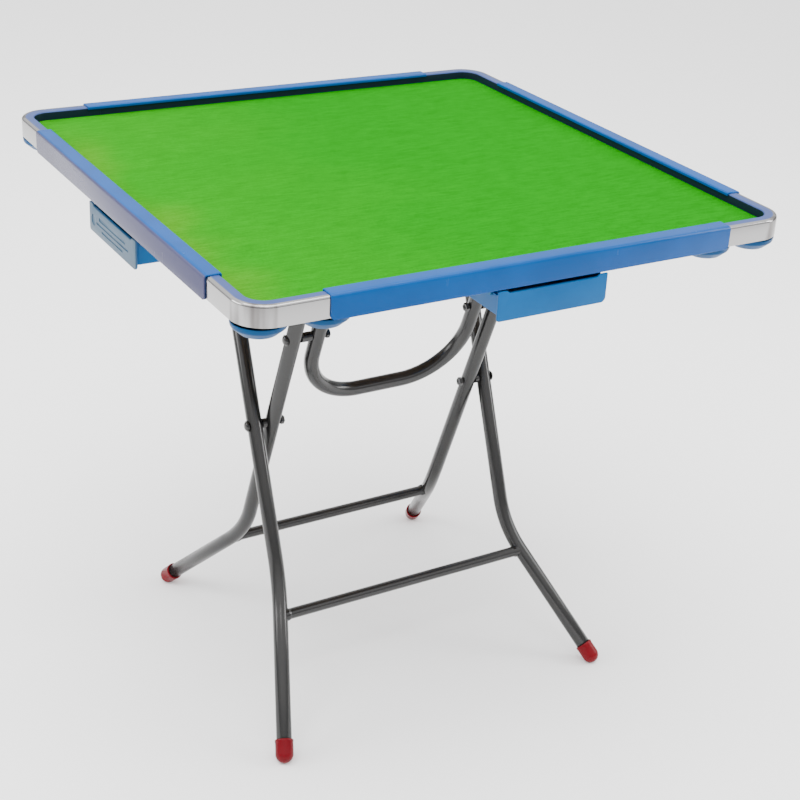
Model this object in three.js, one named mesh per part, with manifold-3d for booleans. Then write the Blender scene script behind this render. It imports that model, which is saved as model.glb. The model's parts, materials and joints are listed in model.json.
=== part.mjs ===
// A folding card table for four players: a cloth-covered board in a metal rim with plastic
// edge guards, four chip drawers, eight swing-out cups, and crossed steel-tube legs.
// Millimetres, +Z up. The origin is on the floor under the centre of the top; -Y is the front.
import * as THREE from "three";
import { mergeVertices } from "three/addons/utils/BufferGeometryUtils.js";
import Module from "manifold-3d";

const wasm = await Module();
wasm.setup();

// ---------- driving dimensions ----------
const SIDE = 800; // outer side of the square metal rim
const RIM_TOP = 770; // floor to the top of the rim
const GAP = 0.3; // clearance between two pieces that touch

const RIM_HEIGHT = 28;
const RIM_WIDTH = 18; // across the top of the rim
const RIM_WALL = 1.5;
const RIM_LIP = 14; // how far the rim's lower flange reaches under the board
const RIM_FLANGE = 1.7; // thickness of that flange
const CORNER_RADIUS = 42; // outer plan radius of the rim
const CORNER_LEG = 126; // corner piece, from the rim's corner to its end
const CORNER_SHOWN = 106; // corner piece, from the rim's corner to the edge guard

const CLOTH_THICKNESS = 1.2;
const BOARD_THICKNESS = 12;

const GUARD_WALL = 2;
const GUARD_LIP = 3; // inner lip, below the top of the rim
const GUARD_HOOK = 3; // snap hook under the rim
const GUARD_ROUND = 4.5; // radius of the guard's upper outer edge

const DRAWER_WIDTH = 164; // width of the drawer's face
const DRAWER_FACE_HEIGHT = 40;
const DRAWER_FACE_THICKNESS = 3;
const DRAWER_DEPTH = 132; // tray, behind the face
const DRAWER_WALL = 2;
const DRAWER_DROP = 2; // edge guard down to the top of the face
const FACE_OVERLAP = 5; // face beyond the tray, at each side and below
const FACE_DIP = 3.5; // depth of the finger dip in the face's upper edge
const FACE_ROUND = 6;
const RUNNER_FLANGE = 4; // tray flange that rides in the cradle
const DRAWER_OFF_CENTRE = { front: 16, right: 0, back: 0, left: 0 }; // to the right of its side
const CRADLE_WALL = 2;

const CUP_RADIUS = 34;
const CUP_FLOOR_RADIUS = 22;
const CUP_DEPTH = 16;
const CUP_WALL = 2;
const CUP_TOP_DROP = 3; // rim bottom down to the top of the cup
const CUP_REACH = 78; // pivot to the cup's centre
const CUP_ARM_WIDTH = 16; // at the pivot
const CUP_ARM_ROOT = 24; // at the cup
const CUP_ARM_THICKNESS = 4.5;
const CUP_BOSS_RADIUS = 9;
const CUP_SCREW_RADIUS = 2.5;
const EDGE_CUP_FROM_CORNER = 115; // edge cup's centre, along the edge from the rim's corner
const CORNER_CUP_FROM_CORNER = 38; // corner cup's centre, along the edge from the rim's corner
const CUP_INSET = 35; // cup's centre, in from the edge that it swings out under
const CUP_PIVOT_INSET = 42; // pivot, in from the same edge

const TUBE_RADIUS = 11;
const TUBE_WALL = 1.2;
const BAR_RADIUS = 8;
const BAR_WALL = 1.2;
const LEG_INSET = 204; // rim's outer face to the front legs' centreline
const LEG_SPACING = 28.5; // front leg's centreline in to the rear leg's
const BRACE_SPACING = 38; // rear leg's centreline in to the brace tube's arm
const CROSSING_DROP = 314; // hinge pins' height down to the bolts where the legs cross
const FRONT_LEAN = 22.2; // degrees from upright; the front legs' tops lean back
const REAR_LEAN = 21.1; // degrees from upright; the rear legs' tops lean forward
const FRONT_BEND_HEIGHT = 176;
const REAR_BEND_HEIGHT = 166;
const LEG_BEND_RADIUS = 180;
const FOOT_SPLAY_X = 0.42; // sideways run of a lower leg for each mm of height
const FOOT_SPLAY_Y = 1.0; // outward run of a lower leg for each mm of height
const FRONT_BAR_BELOW_BEND = 47; // along the leg
const REAR_BAR_BELOW_BEND = 40;
const FRONT_TOP_DROP = 91.8; // hinge pins' height down to the front legs' top pivots
const TUBE_PAST_PIN = 10; // tube end beyond its top pivot

const BRACE_BEND_RADIUS = 93;
const BRACE_LENGTH = 300.6; // hinge pins down to the brace's lowest centreline, along the leg
const BRACE_BOLT_DROP = 169.6; // hinge pins down to the brace bolts, along the leg

const CAP_WALL = 1.6;
const CAP_LENGTH = 20; // straight stretch of a foot cap
const CAP_FLAT_DEPTH = 1.5; // how much of the cap's dome the floor flat takes off
const CAP_FLOOR = 3; // dome centre to the bottom of the tube's socket

const PIN_RADIUS = 4;
const PIN_CLEARANCE = 0.3;
const SPACER_RADIUS = 7; // between two tubes on one bolt, and the pins' flanged ends
const NUT_RADIUS = 7;
const NUT_HEIGHT = 6;
const HEAD_RADIUS = 8;
const HEAD_HEIGHT = 4.6;
const HINGE_DROP = 34; // board's underside down to the hinge pins
const PROP_DROP = 22; // board's underside down to the prop pivots
const PLATE = 2; // thickness of the steel bracket plates
const BRACKET_HALF_LENGTH = 22;
const HINGE_EAR_RADIUS = 12;
const PROP_LINK_THICKNESS = 3;
const PROP_LINK_RADIUS = 9;
const PROP_RIVET_RADIUS = 3;
const PROP_GAP = 1.3; // front leg to the prop link

const FOLD_ANGLE = 65; // degrees that the rear legs turn to fold under the board
const BATTEN_WIDTH = 22;
const BATTEN_HEIGHT = 11;
const BATTEN_LENGTH = 460;

// ---------- derived places ----------
// The board lies on the rim's lower flange and the cloth on the board, so the depth of the
// playing surface below the rim follows from the rim's height.
const HALF = SIDE / 2;
const RIM_BOTTOM = RIM_TOP - RIM_HEIGHT;
const UNDERSIDE = RIM_BOTTOM + RIM_FLANGE + GAP;
const BOARD_TOP = UNDERSIDE + BOARD_THICKNESS;
const CLOTH_BOTTOM = BOARD_TOP + GAP;
const CLOTH_TOP = CLOTH_BOTTOM + CLOTH_THICKNESS;
const GUARD_BOTTOM = RIM_BOTTOM - GAP - GUARD_WALL;
const FACE_TOP = GUARD_BOTTOM - DRAWER_DROP;
const FACE_BOTTOM = FACE_TOP - DRAWER_FACE_HEIGHT;
const GUARD_LENGTH = SIDE - 2 * CORNER_SHOWN;
const FRONT_LEG_X = HALF - LEG_INSET;
const REAR_LEG_X = FRONT_LEG_X - LEG_SPACING;
const BRACE_X = REAR_LEG_X - BRACE_SPACING;
const HINGE_HEIGHT = UNDERSIDE - HINGE_DROP;
const CROSSING_HEIGHT = HINGE_HEIGHT - CROSSING_DROP;

const CUT = 1; // how far a cutting tool runs past the face that it cuts

const radians = THREE.MathUtils.degToRad;
const vec = (x, y, z) => new THREE.Vector3(x, y, z);

// ---------- solids ----------
function manifoldOf(triangles, vertices) {
  const mesh = new wasm.Mesh({ numProp: 3, vertProperties: vertices, triVerts: triangles });
  return new wasm.Manifold(mesh);
}

// A three.js geometry as a manifold-3d solid with its faces pointing out.
function solid(geometry) {
  const bare = geometry.clone();
  bare.deleteAttribute("normal");
  bare.deleteAttribute("uv");
  const merged = mergeVertices(bare, 1e-4);
  const triangles = new Uint32Array(merged.index.array);
  const vertices = new Float32Array(merged.attributes.position.array);
  const made = manifoldOf(triangles, vertices);
  if (made.volume() > 0) return made;
  return manifoldOf(triangles.reverse(), vertices);
}

function geometryOf(body) {
  const { vertProperties, triVerts, numProp, numVert } = body.getMesh();
  const positions = new Float32Array(numVert * 3);
  for (let i = 0; i < numVert; i++) {
    positions.set(vertProperties.subarray(i * numProp, i * numProp + 3), i * 3);
  }
  const geometry = new THREE.BufferGeometry();
  geometry.setAttribute("position", new THREE.BufferAttribute(positions, 3));
  geometry.setIndex(new THREE.BufferAttribute(triVerts, 1));
  return geometry;
}

const joined = (...bodies) => bodies.reduce((whole, body) => whole.add(body));
const less = (body, ...tools) => tools.reduce((whole, tool) => whole.subtract(tool), body);

// ---------- shapes ----------
// Points round an arc, angles in degrees.
function arc(cx, cy, radius, from, to, steps) {
  const points = [];
  for (let i = 0; i <= steps; i++) {
    const angle = radians(from + ((to - from) * i) / steps);
    points.push([cx + radius * Math.cos(angle), cy + radius * Math.sin(angle)]);
  }
  return points;
}

const outline = (points) => new THREE.Shape(points.map(([x, y]) => new THREE.Vector2(x, y)));

// Outline of a rectangle with its four corners rounded, centred on the origin.
function roundedSquare(side, radius, steps) {
  const c = side / 2 - radius;
  return [
    ...arc(c, c, radius, 0, 90, steps),
    ...arc(-c, c, radius, 90, 180, steps),
    ...arc(-c, -c, radius, 180, 270, steps),
    ...arc(c, -c, radius, 270, 360, steps),
  ];
}

// How a prism's outline lies: along x it is given as (y, z), along y as (x, z), along z as (x, y).
const PRISM_BASIS = {
  x: [vec(0, 1, 0), vec(0, 0, 1), vec(1, 0, 0)],
  y: [vec(1, 0, 0), vec(0, 0, 1), vec(0, -1, 0)],
  z: [vec(1, 0, 0), vec(0, 1, 0), vec(0, 0, 1)],
};

function prism(axis, points, from, to) {
  const shape = outline(points);
  const geometry = new THREE.ExtrudeGeometry(shape, { depth: to - from, bevelEnabled: false });
  geometry.applyMatrix4(new THREE.Matrix4().makeBasis(...PRISM_BASIS[axis]));
  const start = axis === "y" ? vec(0, to, 0) : PRISM_BASIS[axis][2].clone().multiplyScalar(from);
  geometry.translate(start.x, start.y, start.z);
  return solid(geometry);
}

function block(low, high) {
  const size = high.clone().sub(low);
  const middle = low.clone().add(high).multiplyScalar(0.5);
  const geometry = new THREE.BoxGeometry(size.x, size.y, size.z);
  geometry.translate(middle.x, middle.y, middle.z);
  return solid(geometry);
}

// A solid turned about an axis through base; its profile is [radius, height] along the axis.
function turned(profile, base, axis, sides) {
  const points = profile.map(([radius, height]) => new THREE.Vector2(radius, height));
  const geometry = new THREE.LatheGeometry(points, sides);
  const turn = new THREE.Quaternion().setFromUnitVectors(vec(0, 1, 0), axis);
  geometry.applyQuaternion(turn);
  geometry.translate(base.x, base.y, base.z);
  return solid(geometry);
}

const cylinder = (base, axis, radius, length, sides) =>
  turned([[0, 0], [radius, 0], [radius, length], [0, length]], base, axis, sides);

// A line through corner points, with each corner rounded to an arc. Its equal steps are its
// stations: the two ends, and points spaced evenly round each arc.
class RoundedLine extends THREE.Curve {
  constructor(corners, radius, arcSteps) {
    super();
    const last = corners.length - 1;
    this.stations = [corners[0]];
    this.tangents = [corners[1].clone().sub(corners[0]).normalize()];
    for (let i = 1; i < last; i++) this.addArc(corners[i - 1], corners[i], corners[i + 1], radius, arcSteps);
    this.stations.push(corners[last]);
    this.tangents.push(corners[last].clone().sub(corners[last - 1]).normalize());
  }

  addArc(before, corner, after, radius, arcSteps) {
    const back = before.clone().sub(corner).normalize();
    const ahead = after.clone().sub(corner).normalize();
    const half = back.angleTo(ahead) / 2;
    const sweep = Math.PI - 2 * half;
    const reach = radius / Math.tan(half);
    const inward = back.clone().add(ahead).normalize();
    const centre = corner.clone().addScaledVector(inward, radius / Math.sin(half));
    const from = corner.clone().addScaledVector(back, reach).sub(centre);
    const to = corner.clone().addScaledVector(ahead, reach).sub(centre);
    for (let step = 0; step <= arcSteps; step++) {
      const angle = (sweep * step) / arcSteps;
      const spoke = vec(0, 0, 0);
      spoke.addScaledVector(from, Math.sin(sweep - angle) / Math.sin(sweep));
      spoke.addScaledVector(to, Math.sin(angle) / Math.sin(sweep));
      const along = vec(0, 0, 0);
      along.addScaledVector(from, -Math.cos(sweep - angle));
      along.addScaledVector(to, Math.cos(angle));
      this.stations.push(centre.clone().add(spoke));
      this.tangents.push(along.normalize());
    }
  }

  get steps() {
    return this.stations.length - 1;
  }

  getPoint(t, target = new THREE.Vector3()) {
    return target.copy(this.stations[Math.round(t * this.steps)]);
  }

  getTangent(t, target = new THREE.Vector3()) {
    return target.copy(this.tangents[Math.round(t * this.steps)]);
  }

  getUtoTmapping(u) {
    return u;
  }
}

function swept(shape, path) {
  return solid(new THREE.ExtrudeGeometry(shape, { steps: path.steps, extrudePath: path }));
}

const TUBE_SIDES = 16;
const BORE_SIDES = 12;
const circle = (radius) => arc(0, 0, radius, 0, 360 - 360 / TUBE_SIDES, TUBE_SIDES - 1);

function tube(path, radius, wall) {
  const ring = outline(circle(radius));
  ring.holes.push(new THREE.Path(circle(radius - wall).map(([x, y]) => new THREE.Vector2(x, y))));
  return swept(ring, path);
}

const rod = (path, radius) => swept(outline(circle(radius)), path);

// ---------- materials ----------
const finish = (color, roughness, metalness) =>
  new THREE.MeshStandardMaterial({ color, roughness, metalness });
const materials = {
  cloth: finish(0x2fb61b, 0.95, 0),
  board: finish(0x8a6a45, 0.8, 0),
  rim: finish(0x7f8fc0, 0.3, 0.8),
  chrome: finish(0xd9dade, 0.12, 1),
  guard: finish(0x0f86ef, 0.35, 0),
  drawer: finish(0x1181d8, 0.4, 0),
  cup: finish(0x0f6fc0, 0.4, 0),
  cradle: finish(0x14508c, 0.5, 0),
  tube: finish(0x34373a, 0.35, 0.6),
  cap: finish(0xa02430, 0.35, 0),
  steel: finish(0x8d9196, 0.4, 0.9),
};

const table = new THREE.Group();

function piece(name, body, material, parent = table) {
  const mesh = new THREE.Mesh(geometryOf(body), material);
  mesh.name = name;
  parent.add(mesh);
  return mesh;
}

// Quarter turns that bring the front side's pieces to the other sides.
const SIDES = { front: 0, right: 1, back: 2, left: 3 };
const CORNERS = { front_left: 0, front_right: 1, back_right: 2, back_left: 3 };
const MIRRORED = { left: -1, right: 1 };

function turnedGroup(quarterTurns) {
  const group = new THREE.Group();
  group.rotation.z = (quarterTurns * Math.PI) / 2;
  table.add(group);
  return group;
}

// ---------- board and cloth ----------
function addBoard() {
  const boardInset = RIM_WALL + GAP;
  const boardPlan = roundedSquare(SIDE - 2 * boardInset, CORNER_RADIUS - boardInset, 6);
  piece("playing_board", prism("z", boardPlan, UNDERSIDE, BOARD_TOP), materials.board);
  const clothInset = RIM_WIDTH + GAP;
  const clothPlan = roundedSquare(SIDE - 2 * clothInset, CORNER_RADIUS - clothInset, 6);
  piece("playing_cloth", prism("z", clothPlan, CLOTH_BOTTOM, CLOTH_TOP), materials.cloth);
}

// ---------- rim ----------
// The rim's section as [inward from the outer face, height]: an open channel that holds the board.
const RIM_SECTION = [
  [0, RIM_BOTTOM],
  [RIM_LIP, RIM_BOTTOM],
  [RIM_LIP, UNDERSIDE - GAP],
  [RIM_WALL, UNDERSIDE - GAP],
  [RIM_WALL, RIM_TOP - RIM_WALL],
  [RIM_WIDTH - RIM_WALL, RIM_TOP - RIM_WALL],
  [RIM_WIDTH - RIM_WALL, BOARD_TOP + GAP],
  [RIM_WIDTH, BOARD_TOP + GAP],
  [RIM_WIDTH, RIM_TOP],
  [0, RIM_TOP],
];

function addRim() {
  const railEnd = HALF - CORNER_LEG - GAP;
  const frontSection = RIM_SECTION.map(([inward, z]) => [inward - HALF, z]);
  const rail = prism("x", frontSection, -railEnd, railEnd);
  for (const [side, turns] of Object.entries(SIDES)) {
    piece(`rim_rail_${side}`, rail, materials.rim, turnedGroup(turns));
  }
  const leg = HALF - CORNER_LEG;
  const edge = [vec(-HALF, -leg, 0), vec(-HALF, -HALF, 0), vec(-leg, -HALF, 0)];
  const sweptSection = outline(RIM_SECTION.map(([inward, z]) => [-z, inward]));
  const corner = swept(sweptSection, new RoundedLine(edge, CORNER_RADIUS, 8));
  for (const [place, turns] of Object.entries(CORNERS)) {
    piece(`rim_corner_${place}`, corner, materials.chrome, turnedGroup(turns));
  }
}

// ---------- edge guards ----------
function addGuards() {
  const outer = -GAP - GUARD_WALL;
  const inner = RIM_WIDTH + GAP + GUARD_WALL;
  const top = RIM_TOP + GAP + GUARD_WALL;
  const section = [
    [outer, GUARD_BOTTOM],
    [GUARD_HOOK, GUARD_BOTTOM],
    [GUARD_HOOK, RIM_BOTTOM - GAP],
    [-GAP, RIM_BOTTOM - GAP],
    [-GAP, RIM_TOP + GAP],
    [RIM_WIDTH + GAP, RIM_TOP + GAP],
    [RIM_WIDTH + GAP, RIM_TOP - GUARD_LIP],
    [inner, RIM_TOP - GUARD_LIP],
    ...arc(inner - GUARD_WALL, top - GUARD_WALL, GUARD_WALL, 0, 90, 3),
    ...arc(outer + GUARD_ROUND, top - GUARD_ROUND, GUARD_ROUND, 90, 180, 5),
  ];
  const frontSection = section.map(([inward, z]) => [inward - HALF, z]);
  const guard = prism("x", frontSection, -GUARD_LENGTH / 2, GUARD_LENGTH / 2);
  for (const [side, turns] of Object.entries(SIDES)) {
    piece(`edge_guard_${side}`, guard, materials.guard, turnedGroup(turns));
  }
}

// ---------- drawers ----------
const FACE_OUTER = -HALF - GAP - GUARD_WALL;
const FACE_INNER = FACE_OUTER + DRAWER_FACE_THICKNESS;
const TRAY_HALF = DRAWER_WIDTH / 2 - FACE_OVERLAP;
const TRAY_BACK = FACE_INNER + DRAWER_DEPTH;
const TRAY_TOP = FACE_TOP - FACE_DIP;
const TRAY_BOTTOM = FACE_BOTTOM + FACE_OVERLAP;
const CRADLE_TOP = UNDERSIDE - GAP;
const SLIDE_CLEARANCE = 0.5;

function drawerFace() {
  const half = DRAWER_WIDTH / 2;
  const dipEnd = half - 2 * FACE_OVERLAP;
  const dipStart = dipEnd - FACE_DIP;
  const face = [
    ...arc(half - FACE_ROUND, FACE_BOTTOM + FACE_ROUND, FACE_ROUND, -90, 0, 4),
    [half, FACE_TOP],
    [dipEnd, FACE_TOP],
    [dipStart, TRAY_TOP],
    [-dipStart, TRAY_TOP],
    [-dipEnd, FACE_TOP],
    [-half, FACE_TOP],
    ...arc(FACE_ROUND - half, FACE_BOTTOM + FACE_ROUND, FACE_ROUND, 180, 270, 4),
  ];
  return prism("y", face, FACE_OUTER, FACE_INNER);
}

function drawerTray() {
  const inside = TRAY_HALF - DRAWER_WALL;
  const flangeTop = TRAY_TOP - DRAWER_WALL;
  const flange = TRAY_HALF + RUNNER_FLANGE;
  const rootedIn = FACE_INNER - DRAWER_FACE_THICKNESS / 2;
  const shell = block(vec(-TRAY_HALF, rootedIn, TRAY_BOTTOM), vec(TRAY_HALF, TRAY_BACK, TRAY_TOP));
  const hollow = block(
    vec(-inside, FACE_INNER, TRAY_BOTTOM + DRAWER_WALL),
    vec(inside, TRAY_BACK - DRAWER_WALL, TRAY_TOP + CUT),
  );
  const flanges = block(
    vec(-flange, FACE_INNER + FACE_OVERLAP, flangeTop - DRAWER_WALL),
    vec(flange, TRAY_BACK, flangeTop),
  );
  return less(joined(shell, flanges), hollow);
}

function drawerCradle() {
  const start = RIM_LIP + GAP - HALF;
  const end = TRAY_BACK + SLIDE_CLEARANCE;
  const webInner = TRAY_HALF + RUNNER_FLANGE + SLIDE_CLEARANCE;
  const webOuter = webInner + CRADLE_WALL;
  const hookInner = TRAY_HALF + SLIDE_CLEARANCE;
  const hookTop = TRAY_TOP - 2 * DRAWER_WALL - SLIDE_CLEARANCE;
  const hookBottom = hookTop - CRADLE_WALL;
  const plateBottom = CRADLE_TOP - CRADLE_WALL;
  const half = [
    [hookInner, hookBottom],
    [webOuter, hookBottom],
    [webOuter, CRADLE_TOP],
  ];
  const inner = [
    [webInner, plateBottom],
    [webInner, hookTop],
    [hookInner, hookTop],
  ];
  const mirror = ([x, z]) => [-x, z];
  const section = [...half, ...half.map(mirror).reverse(), ...inner.map(mirror).reverse(), ...inner];
  return prism("y", section, start, end);
}

function addDrawers() {
  const drawer = joined(drawerFace(), drawerTray());
  const cradle = drawerCradle();
  for (const [side, turns] of Object.entries(SIDES)) {
    const group = turnedGroup(turns);
    piece(`drawer_${side}`, drawer, materials.drawer, group).position.x = DRAWER_OFF_CENTRE[side];
    piece(`drawer_cradle_${side}`, cradle, materials.cradle, group).position.x = DRAWER_OFF_CENTRE[side];
  }
}

// ---------- swing-out cups ----------
// One cup about its pivot at the origin, with the cup's centre along +X.
function cupBody() {
  const top = RIM_BOTTOM - CUP_TOP_DROP;
  const armBottom = top - CUP_ARM_THICKNESS;
  const floor = top - CUP_DEPTH;
  const lowRing = CUP_DEPTH / 4;
  const highRing = (3 * CUP_DEPTH) / 4;
  const bulge = (CUP_RADIUS + CUP_FLOOR_RADIUS) / 2 + CUP_WALL;
  const up = vec(0, 0, 1);
  const centre = vec(CUP_REACH, 0, floor);
  const outside = [
    [0, 0],
    [CUP_FLOOR_RADIUS, 0],
    [bulge, lowRing],
    [CUP_RADIUS, highRing],
    [CUP_RADIUS, CUP_DEPTH],
    [0, CUP_DEPTH],
  ];
  const inside = [
    [0, CUP_WALL],
    [CUP_FLOOR_RADIUS - CUP_WALL / 2, CUP_WALL],
    [bulge - CUP_WALL, lowRing + CUP_WALL / 2],
    [CUP_RADIUS - CUP_WALL, highRing],
    [CUP_RADIUS - CUP_WALL, CUP_DEPTH + CUT],
    [0, CUP_DEPTH + CUT],
  ];
  const armHalf = CUP_ARM_WIDTH / 2;
  const armRoot = CUP_ARM_ROOT / 2;
  const armPlan = [
    [0, -armHalf],
    [CUP_REACH, -armRoot],
    [CUP_REACH, armRoot],
    [0, armHalf],
  ];
  const boss = cylinder(vec(0, 0, armBottom), up, CUP_BOSS_RADIUS, UNDERSIDE - GAP - armBottom, 16);
  const holeDepth = UNDERSIDE - armBottom + 2 * CUT;
  const screwHole = cylinder(vec(0, 0, armBottom - CUT), up, CUP_SCREW_RADIUS, holeDepth, BORE_SIDES);
  const dish = turned(outside, centre, up, 24);
  const hollow = turned(inside, centre, up, 24);
  return less(joined(dish, prism("z", armPlan, armBottom, top), boss), hollow, screwHole);
}

// Each corner has two cups. The edge cup swings out under the front or back edge, and the
// corner cup under the left or right edge.
function addCups() {
  const cup = cupBody();
  const pivotLine = HALF - CUP_PIVOT_INSET;
  const edgeAlong = HALF - EDGE_CUP_FROM_CORNER;
  const cornerAlong = HALF - CORNER_CUP_FROM_CORNER;
  const tilt = Math.asin((CUP_PIVOT_INSET - CUP_INSET) / CUP_REACH);
  const back = CUP_REACH * Math.cos(tilt);
  for (const [end, dy] of Object.entries({ front: -1, back: 1 })) {
    for (const [hand, dx] of Object.entries(MIRRORED)) {
      const edgeCup = piece(`edge_cup_${end}_${hand}`, cup, materials.cup);
      edgeCup.position.set(dx * (edgeAlong - back), dy * pivotLine, 0);
      edgeCup.rotation.z = Math.atan2(dy * Math.sin(tilt), dx * Math.cos(tilt));
      const cornerCup = piece(`corner_cup_${end}_${hand}`, cup, materials.cup);
      cornerCup.position.set(dx * pivotLine, dy * (cornerAlong - back), 0);
      cornerCup.rotation.z = Math.atan2(dy * Math.cos(tilt), dx * Math.sin(tilt));
    }
  }
}

// ---------- leg geometry ----------
const frontLean = radians(FRONT_LEAN);
const rearLean = radians(REAR_LEAN);

// A point on a leg's upper stretch, or in its plane: x, and distance up from the crossing bolts.
const onFront = (x, up) => vec(x, up * Math.sin(frontLean), CROSSING_HEIGHT + up * Math.cos(frontLean));
const onRear = (x, up) => vec(x, -up * Math.sin(rearLean), CROSSING_HEIGHT + up * Math.cos(rearLean));

const HINGE_UP = CROSSING_DROP / Math.cos(rearLean);
const BRACE_BOLT_UP = HINGE_UP - BRACE_BOLT_DROP;
const BRACE_BOTTOM = HINGE_UP - BRACE_LENGTH;
const FRONT_TOP_UP = (CROSSING_DROP - FRONT_TOP_DROP) / Math.cos(frontLean);
const frontBendUp = (FRONT_BEND_HEIGHT - CROSSING_HEIGHT) / Math.cos(frontLean);
const rearBendUp = (REAR_BEND_HEIGHT - CROSSING_HEIGHT) / Math.cos(rearLean);
const capRadius = TUBE_RADIUS + GAP + CAP_WALL;
const domeHeight = capRadius - CAP_FLAT_DEPTH;

// Right-hand legs: the top end, the bend, and the centre of the foot cap's dome.
function footOf(bend, outward) {
  const drop = bend.z - domeHeight;
  return vec(bend.x + FOOT_SPLAY_X * drop, bend.y + outward * FOOT_SPLAY_Y * drop, domeHeight);
}

const frontBend = onFront(FRONT_LEG_X, frontBendUp);
const rearBend = onRear(REAR_LEG_X, rearBendUp);
const frontFoot = footOf(frontBend, -1);
const rearFoot = footOf(rearBend, 1);
const frontTop = onFront(FRONT_LEG_X, FRONT_TOP_UP + TUBE_PAST_PIN);
const rearTop = onRear(REAR_LEG_X, HINGE_UP + TUBE_PAST_PIN);

const SOCKET = CAP_FLOOR + GAP;
const ARC_STEPS = 5;

function legPath(top, bend, foot) {
  const up = bend.clone().sub(foot).normalize();
  const end = foot.clone().addScaledVector(up, SOCKET);
  return new RoundedLine([top, bend, end], LEG_BEND_RADIUS, ARC_STEPS);
}

// A hole for a pin along X, right through a tube that is centred on the point.
function pinHole(point) {
  const reach = 2 * TUBE_RADIUS;
  const base = vec(point.x - reach, point.y, point.z);
  return cylinder(base, vec(1, 0, 0), PIN_RADIUS + PIN_CLEARANCE, 2 * reach, BORE_SIDES);
}

function bothHands(name, body, material) {
  for (const [hand, sign] of Object.entries(MIRRORED)) {
    piece(`${name}_${hand}`, body, material).scale.x = sign;
  }
}

function addLegs() {
  const frontPath = legPath(frontTop, frontBend, frontFoot);
  const rearPath = legPath(rearTop, rearBend, rearFoot);
  const frontLeg = less(tube(frontPath, TUBE_RADIUS, TUBE_WALL), pinHole(onFront(FRONT_LEG_X, 0)));
  const rearHoles = [0, BRACE_BOLT_UP, HINGE_UP].map((up) => pinHole(onRear(REAR_LEG_X, up)));
  const rearLeg = less(tube(rearPath, TUBE_RADIUS, TUBE_WALL), ...rearHoles);
  bothHands("front_leg", frontLeg, materials.tube);
  bothHands("rear_leg", rearLeg, materials.tube);
  addBar("front_crossbar", frontBend, frontFoot, FRONT_BAR_BELOW_BEND, frontPath);
  addBar("rear_crossbar", rearBend, rearFoot, REAR_BAR_BELOW_BEND, rearPath);
}

// A straight bar between two legs, its ends hollowed to fit round them.
function addBar(name, bend, foot, belowBend, path) {
  const down = foot.clone().sub(bend).normalize();
  const end = bend.clone().addScaledVector(down, belowBend);
  const start = vec(-end.x, end.y, end.z);
  const bar = tube(new RoundedLine([start, end], 0, 0), BAR_RADIUS, BAR_WALL);
  const seat = geometryOf(rod(path, TUBE_RADIUS + GAP));
  const mirrored = seat.clone().applyMatrix4(new THREE.Matrix4().makeScale(-1, 1, 1));
  const whole = less(bar, solid(seat), solid(mirrored));
  const longest = whole.decompose().sort((a, b) => b.volume() - a.volume())[0];
  piece(name, longest, materials.tube);
}

// The U-shaped tube between the rear legs, which stiffens their tops.
function addBrace() {
  const top = HINGE_UP + TUBE_PAST_PIN;
  const bend = Math.min(BRACE_BEND_RADIUS, BRACE_X - TUBE_RADIUS);
  const corners = [
    onRear(-BRACE_X, top),
    onRear(-BRACE_X, BRACE_BOTTOM),
    onRear(BRACE_X, BRACE_BOTTOM),
    onRear(BRACE_X, top),
  ];
  const holes = [];
  for (const up of [BRACE_BOLT_UP, HINGE_UP]) {
    holes.push(pinHole(onRear(-BRACE_X, up)), pinHole(onRear(BRACE_X, up)));
  }
  const body = less(tube(new RoundedLine(corners, bend, 6), TUBE_RADIUS, TUBE_WALL), ...holes);
  piece("brace_tube", body, materials.tube);
}

// ---------- foot caps ----------
function footCap(bend, foot) {
  const up = bend.clone().sub(foot).normalize();
  const socketRadius = TUBE_RADIUS + GAP;
  const dome = arc(0, 0, capRadius, -90, 0, 5);
  const profile = [
    ...dome,
    [capRadius, CAP_LENGTH],
    [socketRadius, CAP_LENGTH],
    [socketRadius, CAP_FLOOR],
    [0, CAP_FLOOR],
  ];
  const reach = 2 * capRadius;
  const belowFloor = block(
    vec(foot.x - reach, foot.y - reach, -reach),
    vec(foot.x + reach, foot.y + reach, 0),
  );
  return less(turned(profile, foot, up, 20), belowFloor);
}

function addFootCaps() {
  bothHands("foot_cap_front", footCap(frontBend, frontFoot), materials.cap);
  bothHands("foot_cap_rear", footCap(rearBend, rearFoot), materials.cap);
}

// ---------- pins and bolts ----------
// A pin along +X from x0, as [radius, x] steps.
function pinAlongX(point, steps) {
  const x0 = steps[0][1];
  const profile = [[0, 0]];
  steps.forEach(([radius, x], i) => {
    if (i > 0) profile.push([steps[i - 1][0], x - x0]);
    profile.push([radius, x - x0]);
  });
  profile.push([0, steps[steps.length - 1][1] - x0]);
  return turned(profile, vec(x0, point.y, point.z), vec(1, 0, 0), 16);
}

// The steps of a domed bolt head that ends a pin, from the face that it clamps.
const domedHead = (x) => [
  [HEAD_RADIUS, x],
  [HEAD_RADIUS / 2, x + (2 * HEAD_HEIGHT) / 3],
  [0, x + HEAD_HEIGHT],
];

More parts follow.
